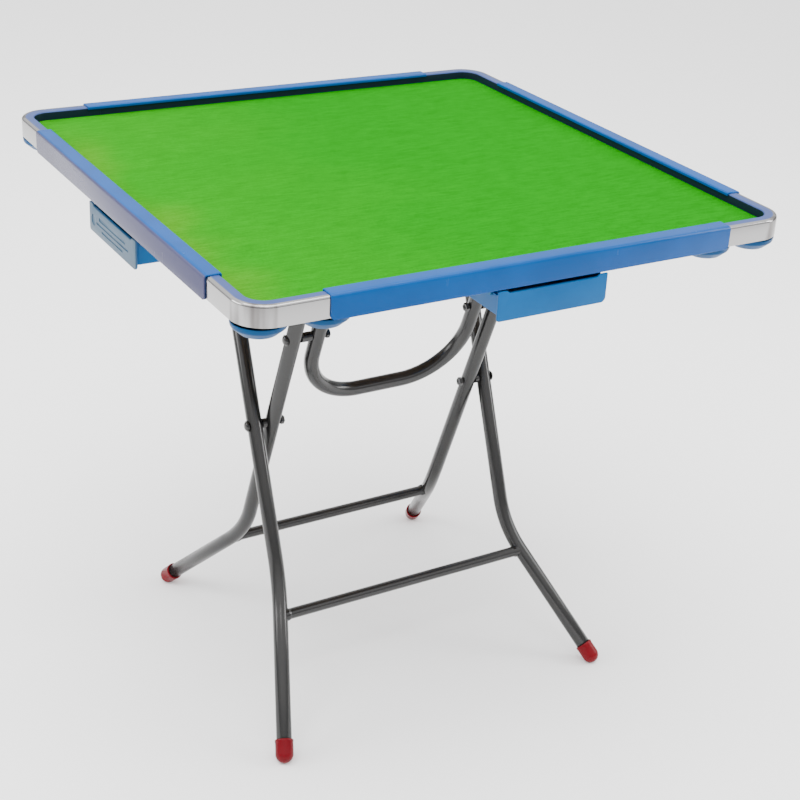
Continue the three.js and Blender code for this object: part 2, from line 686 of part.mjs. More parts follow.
function addBolts() {
  const rearOuter = REAR_LEG_X + TUBE_RADIUS;
  const rearInner = REAR_LEG_X - TUBE_RADIUS;
  const frontOuter = FRONT_LEG_X + TUBE_RADIUS;
  const frontInner = FRONT_LEG_X - TUBE_RADIUS;
  const braceOuter = BRACE_X + TUBE_RADIUS;
  const braceInner = BRACE_X - TUBE_RADIUS;
  const crossing = pinAlongX(onFront(0, 0), [
    [NUT_RADIUS, rearInner - GAP - NUT_HEIGHT],
    [PIN_RADIUS, rearInner - GAP],
    [SPACER_RADIUS, rearOuter + GAP],
    [PIN_RADIUS, frontInner - GAP],
    ...domedHead(frontOuter + GAP),
  ]);
  bothHands("crossing_bolt", crossing, materials.steel);
  const brace = pinAlongX(onRear(0, BRACE_BOLT_UP), [
    [NUT_RADIUS, braceInner - GAP - NUT_HEIGHT],
    [PIN_RADIUS, braceInner - GAP],
    [SPACER_RADIUS, braceOuter + GAP],
    [PIN_RADIUS, rearInner - GAP],
    ...domedHead(rearOuter + GAP),
  ]);
  bothHands("brace_bolt", brace, materials.steel);
}

// ---------- hinge brackets under the board ----------
function addHinges() {
  const hinge = onRear(0, HINGE_UP);
  const top = UNDERSIDE - GAP;
  const earInner = BRACE_X - TUBE_RADIUS - PIN_CLEARANCE - PLATE;
  const earOuter = REAR_LEG_X + TUBE_RADIUS + PIN_CLEARANCE;
  const ear = [
    [hinge.y - BRACKET_HALF_LENGTH, top],
    ...arc(hinge.y, hinge.z, HINGE_EAR_RADIUS, 180, 360, 8),
    [hinge.y + BRACKET_HALF_LENGTH, top],
  ];
  const base = block(
    vec(earInner, hinge.y - BRACKET_HALF_LENGTH, top - PLATE),
    vec(earOuter + PLATE, hinge.y + BRACKET_HALF_LENGTH, top),
  );
  const ears = [earInner, earOuter].map((x) => prism("x", ear, x, x + PLATE));
  const bore = cylinder(
    vec(earInner - CUT, hinge.y, hinge.z), vec(1, 0, 0), PIN_RADIUS + PIN_CLEARANCE,
    earOuter - earInner + PLATE + 2 * CUT, BORE_SIDES,
  );
  bothHands("hinge_bracket", less(joined(base, ...ears), bore), materials.steel);
  const pin = pinAlongX(hinge, [
    [SPACER_RADIUS, earInner - GAP - PLATE],
    [PIN_RADIUS, earInner - GAP],
    [SPACER_RADIUS, earOuter + PLATE + GAP],
    [SPACER_RADIUS, earOuter + 2 * PLATE],
  ]);
  bothHands("hinge_pin", pin, materials.steel);
}

// ---------- props between the board and the front legs' tops ----------
// The prop's upper pivot is as far from the front leg's top in use as it is when folded.
function propPivot() {
  const fold = radians(FOLD_ANGLE);
  const hinge = onRear(0, HINGE_UP);
  const open = onFront(0, FRONT_TOP_UP);
  const foldedLeg = rearLean + fold;
  const folded = vec(0, hinge.y + Math.sin(foldedLeg) * (HINGE_UP - FRONT_TOP_UP), 0);
  folded.z = hinge.z - Math.cos(foldedLeg) * (HINGE_UP - FRONT_TOP_UP);
  const z = UNDERSIDE - PROP_DROP;
  const openSquare = open.y ** 2 + (z - open.z) ** 2;
  const foldedSquare = folded.y ** 2 + (z - folded.z) ** 2;
  return vec(0, (openSquare - foldedSquare) / (2 * (open.y - folded.y)), z);
}

function addProps() {
  const top = UNDERSIDE - GAP;
  const pivot = propPivot();
  const lower = onFront(0, FRONT_TOP_UP);
  const linkInner = FRONT_LEG_X + TUBE_RADIUS + PROP_GAP;
  const linkOuter = linkInner + PROP_LINK_THICKNESS;
  const plateInner = linkOuter + GAP;
  const slope = THREE.MathUtils.radToDeg(Math.atan2(pivot.z - lower.z, pivot.y - lower.y));
  const plan = [
    ...arc(pivot.y, pivot.z, PROP_LINK_RADIUS, slope - 90, slope + 90, 8),
    ...arc(lower.y, lower.z, PROP_LINK_RADIUS, slope + 90, slope + 270, 8),
  ];
  const along = vec(1, 0, 0);
  const boreAt = (x, point, length) =>
    cylinder(vec(x, point.y, point.z), along, PROP_RIVET_RADIUS + PIN_CLEARANCE, length, BORE_SIDES);
  const upperBore = boreAt(linkInner - CUT, pivot, PROP_LINK_THICKNESS + GAP + PLATE + 2 * CUT);
  const lowerBore = boreAt(linkInner - CUT, lower, PROP_LINK_THICKNESS + 2 * CUT);
  bothHands("prop_link", less(prism("x", plan, linkInner, linkOuter), upperBore, lowerBore), materials.tube);
  const ear = [
    [pivot.y - BRACKET_HALF_LENGTH, top],
    ...arc(pivot.y, pivot.z, PROP_LINK_RADIUS, 180, 360, 8),
    [pivot.y + BRACKET_HALF_LENGTH, top],
  ];
  const base = block(
    vec(plateInner, pivot.y - BRACKET_HALF_LENGTH, top - PLATE),
    vec(plateInner + BATTEN_WIDTH, pivot.y + BRACKET_HALF_LENGTH, top),
  );
  const bracket = joined(prism("x", ear, plateInner, plateInner + PLATE), base);
  bothHands("prop_bracket", less(bracket, upperBore), materials.steel);
  const rivet = pinAlongX(pivot, [
    [PROP_RIVET_RADIUS, linkInner + GAP],
    [2 * PROP_RIVET_RADIUS, plateInner + PLATE + GAP],
    [PROP_RIVET_RADIUS, plateInner + 2 * PLATE + GAP],
  ]);
  bothHands("prop_rivet", rivet, materials.steel);
  const bolt = pinAlongX(lower, [
    [PROP_RIVET_RADIUS, FRONT_LEG_X + TUBE_RADIUS + GAP],
    [2 * PROP_RIVET_RADIUS, linkOuter + GAP],
    [PROP_RIVET_RADIUS, linkOuter + PLATE],
  ]);
  bothHands("prop_bolt", bolt, materials.steel);
  const battenInner = plateInner + BATTEN_WIDTH + GAP;
  const batten = block(
    vec(battenInner, -BATTEN_LENGTH / 2, top - BATTEN_HEIGHT),
    vec(battenInner + BATTEN_WIDTH, BATTEN_LENGTH / 2, top),
  );
  bothHands("board_batten", batten, materials.board);
}

addBoard();
addRim();
addGuards();
addDrawers();
addCups();
addLegs();
addBrace();
addFootCaps();
addBolts();
addHinges();
addProps();

export default table;
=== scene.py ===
"""A folding card table: cloth, rim, edge guards, drawers, swing-out cups and crossed tube legs."""
import json
import math
import bmesh
import bpy
from mathutils import Matrix, Vector


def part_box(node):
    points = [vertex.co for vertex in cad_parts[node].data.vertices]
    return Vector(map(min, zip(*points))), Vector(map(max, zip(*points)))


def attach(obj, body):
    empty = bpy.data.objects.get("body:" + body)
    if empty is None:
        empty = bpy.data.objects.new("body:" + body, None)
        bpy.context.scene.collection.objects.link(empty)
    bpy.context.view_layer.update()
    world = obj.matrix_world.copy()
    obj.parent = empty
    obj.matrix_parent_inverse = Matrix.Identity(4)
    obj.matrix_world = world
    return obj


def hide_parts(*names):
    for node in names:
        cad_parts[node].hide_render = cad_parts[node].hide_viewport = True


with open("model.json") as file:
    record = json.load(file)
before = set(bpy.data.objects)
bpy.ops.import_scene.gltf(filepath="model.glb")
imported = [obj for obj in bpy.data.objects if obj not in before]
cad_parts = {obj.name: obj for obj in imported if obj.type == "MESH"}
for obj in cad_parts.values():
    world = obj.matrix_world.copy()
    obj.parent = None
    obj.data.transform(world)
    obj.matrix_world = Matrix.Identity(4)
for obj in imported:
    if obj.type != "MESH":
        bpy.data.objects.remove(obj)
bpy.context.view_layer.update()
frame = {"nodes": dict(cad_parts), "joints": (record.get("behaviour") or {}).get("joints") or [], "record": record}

MM = 0.001
X, Y, Z = Vector((1, 0, 0)), Vector((0, 1, 0)), Vector((0, 0, 1))
JOINTS = {joint["name"]: joint for joint in frame["joints"]}
SIDES = ("front", "right", "back", "left")
CORNERS = ("front_left", "front_right", "back_right", "back_left")
HANDS = {"left": -1, "right": 1}


# ---------- camera ----------
CAMERA_AZIMUTH, CAMERA_ELEVATION, CAMERA_ROLL = -33.467, 24.917, 4.055
CAMERA_DISTANCE, CAMERA_ACROSS, CAMERA_DOWN = 2.26766, 0.10606, 0.27865
CAMERA_LENS = 72.59
CAMERA_SHIFT = (-0.075, -0.05)


def make_camera():
    """Stands the camera off from the middle of the rim's top."""
    turns = (CAMERA_AZIMUTH, CAMERA_ELEVATION, CAMERA_ROLL)
    azimuth, elevation, roll = (math.radians(turn) for turn in turns)
    back = Vector((math.sin(azimuth) * math.cos(elevation),
                   -math.cos(azimuth) * math.cos(elevation), math.sin(elevation)))
    level = (-back).cross(Z).normalized()
    upward = level.cross(-back)
    right = math.cos(roll) * level + math.sin(roll) * upward
    up = math.cos(roll) * upward - math.sin(roll) * level
    target = Vector((0, 0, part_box("rim_rail_front")[1].z))
    data = bpy.data.cameras.new("camera")
    data.lens = CAMERA_LENS
    data.shift_x, data.shift_y = CAMERA_SHIFT
    camera = bpy.data.objects.new("camera", data)
    bpy.context.scene.collection.objects.link(camera)
    place = target + back * CAMERA_DISTANCE + right * CAMERA_ACROSS - up * CAMERA_DOWN
    turn = Matrix((right, up, back)).transposed()
    camera.matrix_world = Matrix.Translation(place) @ turn.to_4x4()
    bpy.context.scene.camera = camera


make_camera()


# ---------- shader maths ----------
class Value:
    """A socket, with arithmetic that adds Math nodes to its finish."""

    def __init__(self, finish, socket):
        self.finish = finish
        self.socket = socket

    def math(self, operation, *others):
        terms = dict(enumerate((self, *others)))
        return self.finish.node("ShaderNodeMath", {"operation": operation}, terms)

    def __add__(self, other):
        return self.math("ADD", other)

    def __sub__(self, other):
        return self.math("SUBTRACT", other)

    def __rsub__(self, other):
        return self.finish.node("ShaderNodeMath", {"operation": "SUBTRACT"}, {0: other, 1: self})

    def __mul__(self, other):
        return self.math("MULTIPLY", other)

    def __gt__(self, other):
        return self.math("GREATER_THAN", other)

    __radd__ = __add__
    __rmul__ = __mul__

    def abs(self):
        return self.math("ABSOLUTE")

    def sine(self):
        return self.math("SINE")

    def max(self, other):
        return self.math("MAXIMUM", other)

    def rise(self, low, high):
        """0 below low, 1 above high, and smooth between them."""
        settings = {"interpolation_type": "SMOOTHSTEP"}
        return self.finish.node("ShaderNodeMapRange", settings, {"Value": self, 1: low, 2: high})


class Finish:
    """A material under construction."""

    def __init__(self, name, **constants):
        self.material = bpy.data.materials.new(name)
        self.material.use_nodes = True
        self.tree = self.material.node_tree
        self.shader = self.tree.nodes["Principled BSDF"]
        for socket, value in constants.items():
            self.set(socket.replace("_", " ").title().replace("Ior", "IOR"), value)

    def set(self, socket, value):
        target = self.shader.inputs[socket]
        if isinstance(value, Value):
            self.tree.links.new(value.socket, target)
        else:
            target.default_value = (*value, 1) if isinstance(value, tuple) else value

    def node(self, kind, settings=None, inputs=None, output=0):
        """Any node, with its settings, what goes into it, and which output is wanted."""
        made = self.tree.nodes.new(kind)
        for name, value in (settings or {}).items():
            setattr(made, name, value)
        for name, value in (inputs or {}).items():
            if isinstance(value, Value):
                self.tree.links.new(value.socket, made.inputs[name])
            else:
                made.inputs[name].default_value = value
        return Value(self, made.outputs[output])

    def place(self, scale=(1, 1, 1)):
        """Object coordinates in metres, times a scale for each axis."""
        where = self.node("ShaderNodeTexCoord", output="Object")
        return self.node("ShaderNodeMapping", {}, {"Vector": where, "Scale": scale})

    def axes(self):
        """Object coordinates in metres, one value for each axis."""
        split = self.tree.nodes.new("ShaderNodeSeparateXYZ")
        where = self.node("ShaderNodeTexCoord", output="Object")
        self.tree.links.new(where.socket, split.inputs[0])
        return [Value(self, output) for output in split.outputs]

    def noise(self, scale, detail=2.0, stretch=(1, 1, 1), roughness=0.5):
        """Noise from 0 to 1, with its scale in features to the metre."""
        inputs = {"Vector": self.place(stretch), "Scale": scale, "Detail": detail,
                  "Roughness": roughness}
        return self.node("ShaderNodeTexNoise", {}, inputs)

    def colours(self, factor, first, second):
        """The first colour where the factor is 0, and the second where it is 1."""
        inputs = {0: factor, 6: (*first, 1) if isinstance(first, tuple) else first,
                  7: (*second, 1) if isinstance(second, tuple) else second}
        return self.node("ShaderNodeMix", {"data_type": "RGBA"}, inputs, 2)

    def bump(self, height, depth, strength=1.0):
        inputs = {"Height": height, "Distance": depth, "Strength": strength}
        self.set("Normal", self.node("ShaderNodeBump", {}, inputs))


# ---------- finishes ----------
WARP_PITCH, WEFT_PITCH = 1.6 * MM, 1.2 * MM
INNER_WALL = 0.3826  # from the table's middle to just outside the rim's inner walls
EDGE_BAND = 0.3945  # to where the bright outer band of a corner piece begins
BAND_BLEND = 0.8 * MM
CURVE_START = 0.358  # to where the rim's corners begin to curve
TOP_SKIN = 1.5 * MM  # the coat's depth from the rim's top, above the dark inner walls
LEFT_FACES = (0.3994, 0.4016)  # between which the outermost left faces begin


def playing_cloth_finish():
    finish = Finish("playing cloth", roughness=0.95, specular_ior_level=0.04)
    across, along = finish.axes()[:2]
    streaks = finish.noise(60, 3, (0.7, 5.5, 1.0), 0.6)
    threads = finish.noise(420, 2, (0.6, 2.2, 1.0))
    patches = finish.noise(3.2, 2)
    # Painted glare: the cloth is lighter and yellower towards the table's left, most of all along its left edge,
    # in place of the shine of the light from the left.
    painted_glare = (across * -1.0 + along * 0.12 + (patches - 0.5) * 0.5).rise(-0.12, 0.55)
    base = finish.colours(painted_glare, (0.0, 0.17, 0.0), (0.014, 0.2, 0.001))
    painted_edge_glare = (across * -1.0 + (patches - 0.5) * 0.35).rise(0.29, 0.42)
    base = finish.colours(painted_edge_glare * 0.8, base, (0.085, 0.225, 0.008))
    tone = (streaks * 0.6 + threads * 0.4).rise(0.3, 0.7)
    shade = finish.colours(tone, (0.52, 0.6, 0.3), (1.5, 1.3, 1.6))
    blended = finish.node("ShaderNodeMix", {"data_type": "RGBA", "blend_type": "MULTIPLY"},
                          {0: 0.6, 6: base, 7: shade}, 2)
    finish.set("Base Color", blended)
    warp = (across * (2 * math.pi / WARP_PITCH)).sine()
    weft = (along * (2 * math.pi / WEFT_PITCH)).sine()
    finish.bump(warp * weft * 0.35 + threads * 0.8 + streaks * 0.5, 0.0006, 0.45)
    return finish.material


def board_finish():
    finish = Finish("hardboard", roughness=0.75)
    fibres = finish.noise(90, 5, (1, 0.35, 1))
    specks = finish.noise(700, 2)
    tone = (fibres * 0.7 + specks * 0.3).rise(0.3, 0.72)
    finish.set("Base Color", finish.colours(tone, (0.10, 0.062, 0.035), (0.21, 0.145, 0.088)))
    finish.bump(specks, 0.0004, 0.4)
    return finish.material


def batten_finish():
    finish = Finish("pine batten", roughness=0.62)
    x, _, z = finish.axes()
    wander = finish.noise(9, 3, (1, 0.2, 1))
    rings = ((x * 900 + z * 420 + wander * 16).sine() * 0.5 + 0.5).rise(0.1, 0.95)
    finish.set("Base Color", finish.colours(rings, (0.40, 0.26, 0.13), (0.26, 0.15, 0.065)))
    finish.bump(rings, 0.0003, 0.3)
    return finish.material


def rim_finish(name, band_colour=None):
    """Blue-grey coat with dark inner walls; a corner piece adds a polished outer band, painted with a dark
    reflection round its curve.
    """
    finish = Finish(name, specular_ior_level=0.15)
    x, y, z = finish.axes()
    reach = x.abs().max(y.abs())
    corner_x = (x.abs() - CURVE_START).max(0.0)
    corner_y = (y.abs() - CURVE_START).max(0.0)
    round_reach = (corner_x * corner_x + corner_y * corner_y).math("SQRT") + CURVE_START
    reach = reach.max(round_reach)
    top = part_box("rim_rail_front")[1].z
    inner = (1 - (reach > INNER_WALL)) * (1 - (z > top - TOP_SKIN))
    mottle = finish.noise(35, 3)
    coat = finish.colours(mottle, (0.026, 0.05, 0.155), (0.045, 0.075, 0.21))
    colour = finish.colours(inner, coat, (0.006, 0.012, 0.022))
    rough = 0.26 + mottle * 0.1
    metal = 0.08 * (1 - inner)
    if band_colour:
        band = reach.rise(EDGE_BAND - BAND_BLEND, EDGE_BAND + BAND_BLEND)
        grain = finish.noise(260, 3, (1, 1, 12))
        # Round each corner's curve the polished band is painted darker in soft vertical streaks: a painted dark
        # reflection.
        curve = (corner_x * corner_y).rise(0.00001, 0.0002)
        painted_dark_reflection = curve * finish.noise(55, 2, (1, 1, 0.12)).rise(0.36, 0.68)
        band_and_painted_reflection = finish.colours(painted_dark_reflection * 0.75, band_colour, (0.055, 0.044, 0.040))
        colour = finish.colours(band, colour, band_and_painted_reflection)
        rough = rough * (1 - band) + band * (0.13 + grain * 0.07)
        metal = metal * (1 - band) + band
    finish.set("Base Color", colour)
    finish.set("Roughness", rough)
    finish.set("Metallic", metal)
    finish.bump(mottle, 0.0002, 0.15)
    return finish.material


def moulded_finish(name, light, dark, gloss=0.3, painted_glare=None):
    """Moulded plastic with a faint grain; the last argument is a paler colour painted on faces on the table's
    left, as a painted reflection.
    """
    finish = Finish(name, specular_ior_level=0.12)
    cloud = finish.noise(14, 3)
    grain = finish.noise(1500, 2)
    colour = finish.colours(cloud.rise(0.3, 0.7), dark, light)
    if painted_glare:
        # Faces on the table's left take the paler colour: a painted reflection of the light, not a colour of the
        # plastic.
        leftward = finish.axes()[0] * -1.0
        colour = finish.colours(leftward.rise(*LEFT_FACES), colour, painted_glare)
    finish.set("Base Color", colour)
    scuffs = finish.noise(120, 5, (1, 1, 0.3)).rise(0.6, 0.8)
    finish.set("Roughness", gloss + cloud * 0.06 + scuffs * 0.03)
    finish.bump(grain, 0.00012, 0.25)
    return finish.material


def tube_finish():
    finish = Finish("gunmetal coat", specular_ior_level=0.6)
    cloud = finish.noise(20, 4)
    peel = finish.noise(900, 2)
    finish.set("Base Color", finish.colours(cloud, (0.013, 0.013, 0.0135), (0.024, 0.023, 0.022)))
    finish.set("Roughness", 0.17 + cloud * 0.08)
    finish.set("Metallic", 0.3 + cloud * 0.1)
    finish.bump(peel, 0.0002, 0.18)
    return finish.material


def zinc_finish():
    finish = Finish("zinc plate", metallic=1.0)
    spangle = finish.node("ShaderNodeTexVoronoi", {}, {"Vector": finish.place(), "Scale": 260})
    cloud = finish.noise(70, 3)
    grey = finish.colours(spangle.rise(0.1, 0.7), (0.50, 0.50, 0.50), (0.63, 0.64, 0.66))
    finish.set("Base Color", grey)
    finish.set("Roughness", 0.3 + cloud * 0.16)
    return finish.material


def floor_finish():
    finish = Finish("floor", roughness=0.95, specular_ior_level=0.1)
    cloud = finish.noise(1.5, 3)
    finish.set("Base Color", finish.colours(cloud, (0.97, 0.97, 0.97), (0.985, 0.985, 0.985)))
    return finish.material


FINISHES = {
    "cloth": playing_cloth_finish(),
    "board": board_finish(),
    "batten": batten_finish(),
    "rim": rim_finish("rim coat"),
    "corner": rim_finish("polished corner", (0.34, 0.335, 0.335)),
    # The last colours of the guard and drawer plastics are painted reflection on their faces towards the table's
    # left.
    "guard": moulded_finish("guard plastic", (0.0, 0.058, 0.235), (0.0, 0.050, 0.20), 0.22,
                            (0.050, 0.050, 0.105)),
    "drawer": moulded_finish("drawer plastic", (0.0, 0.083, 0.25), (0.0, 0.070, 0.215), 0.3,
                             (0.035, 0.075, 0.12)),
    "cup": moulded_finish("cup plastic", (0.0, 0.048, 0.145), (0.0, 0.040, 0.12), 0.34),
    "cradle": moulded_finish("cradle plastic", (0.02, 0.12, 0.24), (0.02, 0.10, 0.20), 0.45),
    "tube": tube_finish(),
    "cap": moulded_finish("red cap plastic", (0.15, 0.003, 0.007), (0.115, 0.002, 0.006), 0.22),
    "steel": zinc_finish(),
}


# ---------- mesh building ----------
def arc(cx, cy, radius, start, end, steps):
    """Points round an arc, angles in degrees."""
    angles = [math.radians(start + (end - start) * i / steps) for i in range(steps + 1)]
    return [(cx + radius * math.cos(a), cy + radius * math.sin(a)) for a in angles]


def corner_arc(before, corner, after, radius, steps):
    """Points round a corner between its two neighbours, on an arc that meets both lines."""
    back, ahead = (before - corner).normalized(), (after - corner).normalized()
    half = back.angle(ahead) / 2
    centre = corner + (back + ahead).normalized() * (radius / math.sin(half))
    start = corner + back * (radius / math.tan(half)) - centre
    end = corner + ahead * (radius / math.tan(half)) - centre
    sweep = start.angle(end)
    points = []
    for step in range(steps + 1):
        share = step / steps
        spoke = start * math.sin((1 - share) * sweep) + end * math.sin(share * sweep)
        points.append(centre + spoke / math.sin(sweep))
    return points


def rounded(corners, steps=4):
    """A closed outline from (x, y, radius) corners, each rounded to its radius."""
    spots = [Vector((x, y)) for x, y, _ in corners]
    points = []
    for i, (_, _, radius) in enumerate(corners):
        if radius == 0:
            points.append(spots[i])
        else:
            after = spots[(i + 1) % len(spots)]
            points += corner_arc(spots[i - 1], spots[i], after, radius, steps)
    return points


def new_mesh(name, vertices, faces):
    mesh = bpy.data.meshes.new(name)
    mesh.from_pydata([tuple(v) for v in vertices], [], faces)
    made = bmesh.new()
    made.from_mesh(mesh)
    bmesh.ops.remove_doubles(made, verts=made.verts, dist=1e-7)
    bmesh.ops.dissolve_degenerate(made, edges=made.edges, dist=1e-8)
    bmesh.ops.recalc_face_normals(made, faces=made.faces)
    made.to_mesh(mesh)
    made.free()
    return mesh


def loft(name, rings, closed=False):
    """A skin over rings of points; its ends are capped unless it closes on itself."""
    count = len(rings[0])
    vertices = [point for ring in rings for point in ring]
    faces = []
    for i in range(len(rings) if closed else len(rings) - 1):
        here, there = i * count, (i + 1) % len(rings) * count
        for j in range(count):
            k = (j + 1) % count
            faces.append((here + j, here + k, there + k, there + j))
    if not closed:
        faces.append(tuple(range(count)))
        faces.append(tuple(range((len(rings) - 1) * count, len(rings) * count)))
    return new_mesh(name, vertices, faces)


def lathe(name, outline, base, axis, sides=48):
    """An outline of (radius, height) turned about an axis through base."""
    turn = Z.rotation_difference(axis)
    rings = []
    for i in range(sides):
        angle = 2 * math.pi * i / sides
        spoke = Vector((math.cos(angle), math.sin(angle), 0))
        rings.append([base + turn @ (spoke * p[0] + Z * p[1]) for p in outline])
    return loft(name, rings, closed=True)


def box_mesh(name, low, high):
    corners = [Vector((x, y, z)) for z in (low.z, high.z) for x, y in
               ((low.x, low.y), (high.x, low.y), (high.x, high.y), (low.x, high.y))]
    return loft(name, [corners[:4], corners[4:]])


def placed(mesh, name=None):
    made = bpy.data.objects.new(name or mesh.name, mesh)
    bpy.context.scene.collection.objects.link(made)
    return made


def modified(piece, kind, **settings):
    modifier = piece.modifiers.new(kind.lower(), kind)
    for name, value in settings.items():
        setattr(modifier, name, value)
    return piece


def baked(piece):
    """The piece with its modifiers applied to its mesh."""
    evaluated = piece.evaluated_get(bpy.context.evaluated_depsgraph_get())
    mesh = bpy.data.meshes.new_from_object(evaluated)
    piece.modifiers.clear()
    piece.data = mesh
    return piece


def bevelled(piece, width, segments=3, angle=32):
    return baked(modified(piece, "BEVEL", width=width, segments=segments,
                          limit_method="ANGLE", angle_limit=math.radians(angle)))


def combine(piece, tool, operation="UNION"):
    baked(modified(piece, "BOOLEAN", object=tool, operation=operation, solver="EXACT"))
    bpy.data.objects.remove(tool)
    return piece


def joined(first, *others):
    """One object from several, which keeps each one's shell."""
    made = bmesh.new()
    for piece in (first, *others):
        made.from_mesh(piece.data)
    made.to_mesh(first.data)
    made.free()
    for piece in others:
        bpy.data.objects.remove(piece)
    return first


def quarter_turn(turns):
    """Turns a piece from the table's front to another side."""
    return Matrix.Rotation(math.radians(90 * turns), 4, "Z")


def box_at_front(node, turns):
    """A node's box as it would be if its side of the table were the front."""
    corners = [quarter_turn(-turns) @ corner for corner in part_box(node)]
    return Vector(map(min, *corners)), Vector(map(max, *corners))


def copied(piece, name, matrix):
    """A copy moved by a matrix, with its faces outward even if it is a mirror image."""
    mesh = piece.data.copy()
    mesh.transform(matrix)
    if matrix.determinant() < 0:
        mesh.flip_normals()
    return placed(mesh, name)


def finished(piece, body, slot, *nodes, finish=None, smooth=38):
    """Gives a piece its finish, picked by its slot unless one is named, smooth shading and body, and hides the
    nodes it stands for.
    """
    piece.data.materials.clear()
    piece.data.materials.append(FINISHES[finish or slot])
    piece.data.shade_smooth()
    piece.data.set_sharp_from_angle(angle=math.radians(smooth))
    if nodes:
        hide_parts(*nodes)
    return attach(piece, body)


# ---------- cloth ----------
CLOTH_CORNER_RADIUS, CLOTH_LEAST_RADIUS = 23.7 * MM, 4 * MM
CLOTH_EDGE = [(250 * MM, 0), (30 * MM, 0), (0.9 * MM, 0), (0.3 * MM, 0.2 * MM), (0, 0.7 * MM)]


def make_cloth():
    """The cloth, whose cut edge rolls over: each ring has an inset and a drop."""
    low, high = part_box("playing_cloth")
    side = high.x - low.x
    half = side / 2
    rings = []
    for inset, drop in CLOTH_EDGE:
        reach = half - inset
        bend = max(CLOTH_CORNER_RADIUS - inset, CLOTH_LEAST_RADIUS)
        outline = rounded([(reach, reach, bend), (-reach, reach, bend),
                           (-reach, -reach, bend), (reach, -reach, bend)], 8)
        rings.append([Vector((p.x, p.y, high.z - drop)) for p in outline])
    rings.append([Vector((p.x, p.y, low.z)) for p in rings[-1]])
    cloth = placed(loft("playing_cloth_sheet", rings))
    finished(cloth, "tabletop", "cloth", "playing_cloth")


# ---------- rim ----------
RIM_WALL, RIM_LIP, RIM_FLANGE, RIM_ROUND = 1.5 * MM, 14 * MM, 1.7 * MM, 3.6 * MM
RIM_CORNER_RADIUS = 42 * MM


def rim_outline():
    low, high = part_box("rim_rail_front")
    width, bottom, top = high.y - low.y, low.z, high.z
    inner_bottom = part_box("playing_board")[1].z + 0.3 * MM
    w = RIM_WALL
    return rounded([
        (0, bottom, 1.2 * MM), (RIM_LIP, bottom, 0.5 * MM), (RIM_LIP, bottom + RIM_FLANGE, 0.5 * MM),
        (w, bottom + RIM_FLANGE, 0.4 * MM), (w, top - w, RIM_ROUND - w),
        (width - w, top - w, 1.0 * MM), (width - w, inner_bottom, 0.4 * MM),
        (width, inner_bottom, 0.4 * MM), (width, top, 2.4 * MM), (0, top, RIM_ROUND)], 5)


def make_rim():
    outline = rim_outline()
    rail_low, rail_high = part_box("rim_rail_front")
    half = -rail_low.y
    ends = (rail_low.x, rail_high.x)
    rail = placed(loft("rail", [[Vector((x, p.x - half, p.y)) for p in outline] for x in ends]))
    leg = -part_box("rim_corner_front_left")[1].x
    centre = half - RIM_CORNER_RADIUS
    stations = [((-half, -leg), (1, 0))]
    for step in range(25):
        angle = math.radians(180 + 90 * step / 24)
        outward = Vector((math.cos(angle), math.sin(angle)))
        spot = Vector((-centre, -centre)) + outward * RIM_CORNER_RADIUS
        stations.append((tuple(spot), tuple(-outward)))
    stations.append(((-leg, -half), (0, 1)))
    rings = [[Vector((x + p.x * dx, y + p.x * dy, p.y)) for p in outline]
             for (x, y), (dx, dy) in stations]
    corner = placed(loft("corner", rings))
    for i, side in enumerate(SIDES):
        turn = quarter_turn(i)
        finished(copied(rail, f"rim_rail_{side}_rolled", turn), "tabletop", "rim",
                 f"rim_rail_{side}", smooth=45)
        finished(copied(corner, f"rim_corner_{CORNERS[i]}_polished", turn), "tabletop", "corner",
                 f"rim_corner_{CORNERS[i]}", smooth=45)
    bpy.data.objects.remove(rail)
    bpy.data.objects.remove(corner)


# ---------- edge guards ----------
GUARD_WALL, GUARD_HOOK, GUARD_LIP, GUARD_ROUND = 2 * MM, 3 * MM, 3 * MM, 5 * MM
GUARD_END_ROUND = 7 * MM


def make_guards():
    low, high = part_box("edge_guard_front")
    rim_low, rim_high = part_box("rim_rail_front")
    gap, w = 0.3 * MM, GUARD_WALL
    outer, inner, rim = low.y, high.y, rim_low.y
    lip = rim_high.z - GUARD_LIP
    outline = rounded([
        (outer, low.z, 1.2 * MM), (rim + GUARD_HOOK, low.z, 0.7 * MM),
        (rim + GUARD_HOOK, low.z + w, 0.5 * MM), (rim - gap, low.z + w, 0.4 * MM),
        (rim - gap, high.z - w, GUARD_ROUND - w), (rim_high.y + gap, high.z - w, 0.6 * MM),
        (rim_high.y + gap, lip, 0.5 * MM), (inner, lip, 0.8 * MM),
        (inner, high.z, 2.4 * MM), (outer, high.z, GUARD_ROUND)], 5)
    rings = [[Vector((x, p.x, p.y)) for p in outline] for x in (low.x, high.x)]
    guard = placed(loft("guard", rings))
    ends = rounded([(low.x, low.z, GUARD_END_ROUND), (high.x, low.z, GUARD_END_ROUND),
                    (high.x, high.z, 2 * MM), (low.x, high.z, 2 * MM)], 6)
    cutter = placed(loft("cutter", [[Vector((p.x, y, p.y)) for p in ends]
                                    for y in (outer - 0.01, inner + 0.01)]))
    combine(guard, cutter, "INTERSECT")
    bevelled(guard, 0.5 * MM, 2, 50)
    for i, side in enumerate(SIDES):
        finished(copied(guard, f"edge_guard_{side}_moulded", quarter_turn(i)), "tabletop", "guard",
                 f"edge_guard_{side}", smooth=45)
    bpy.data.objects.remove(guard)


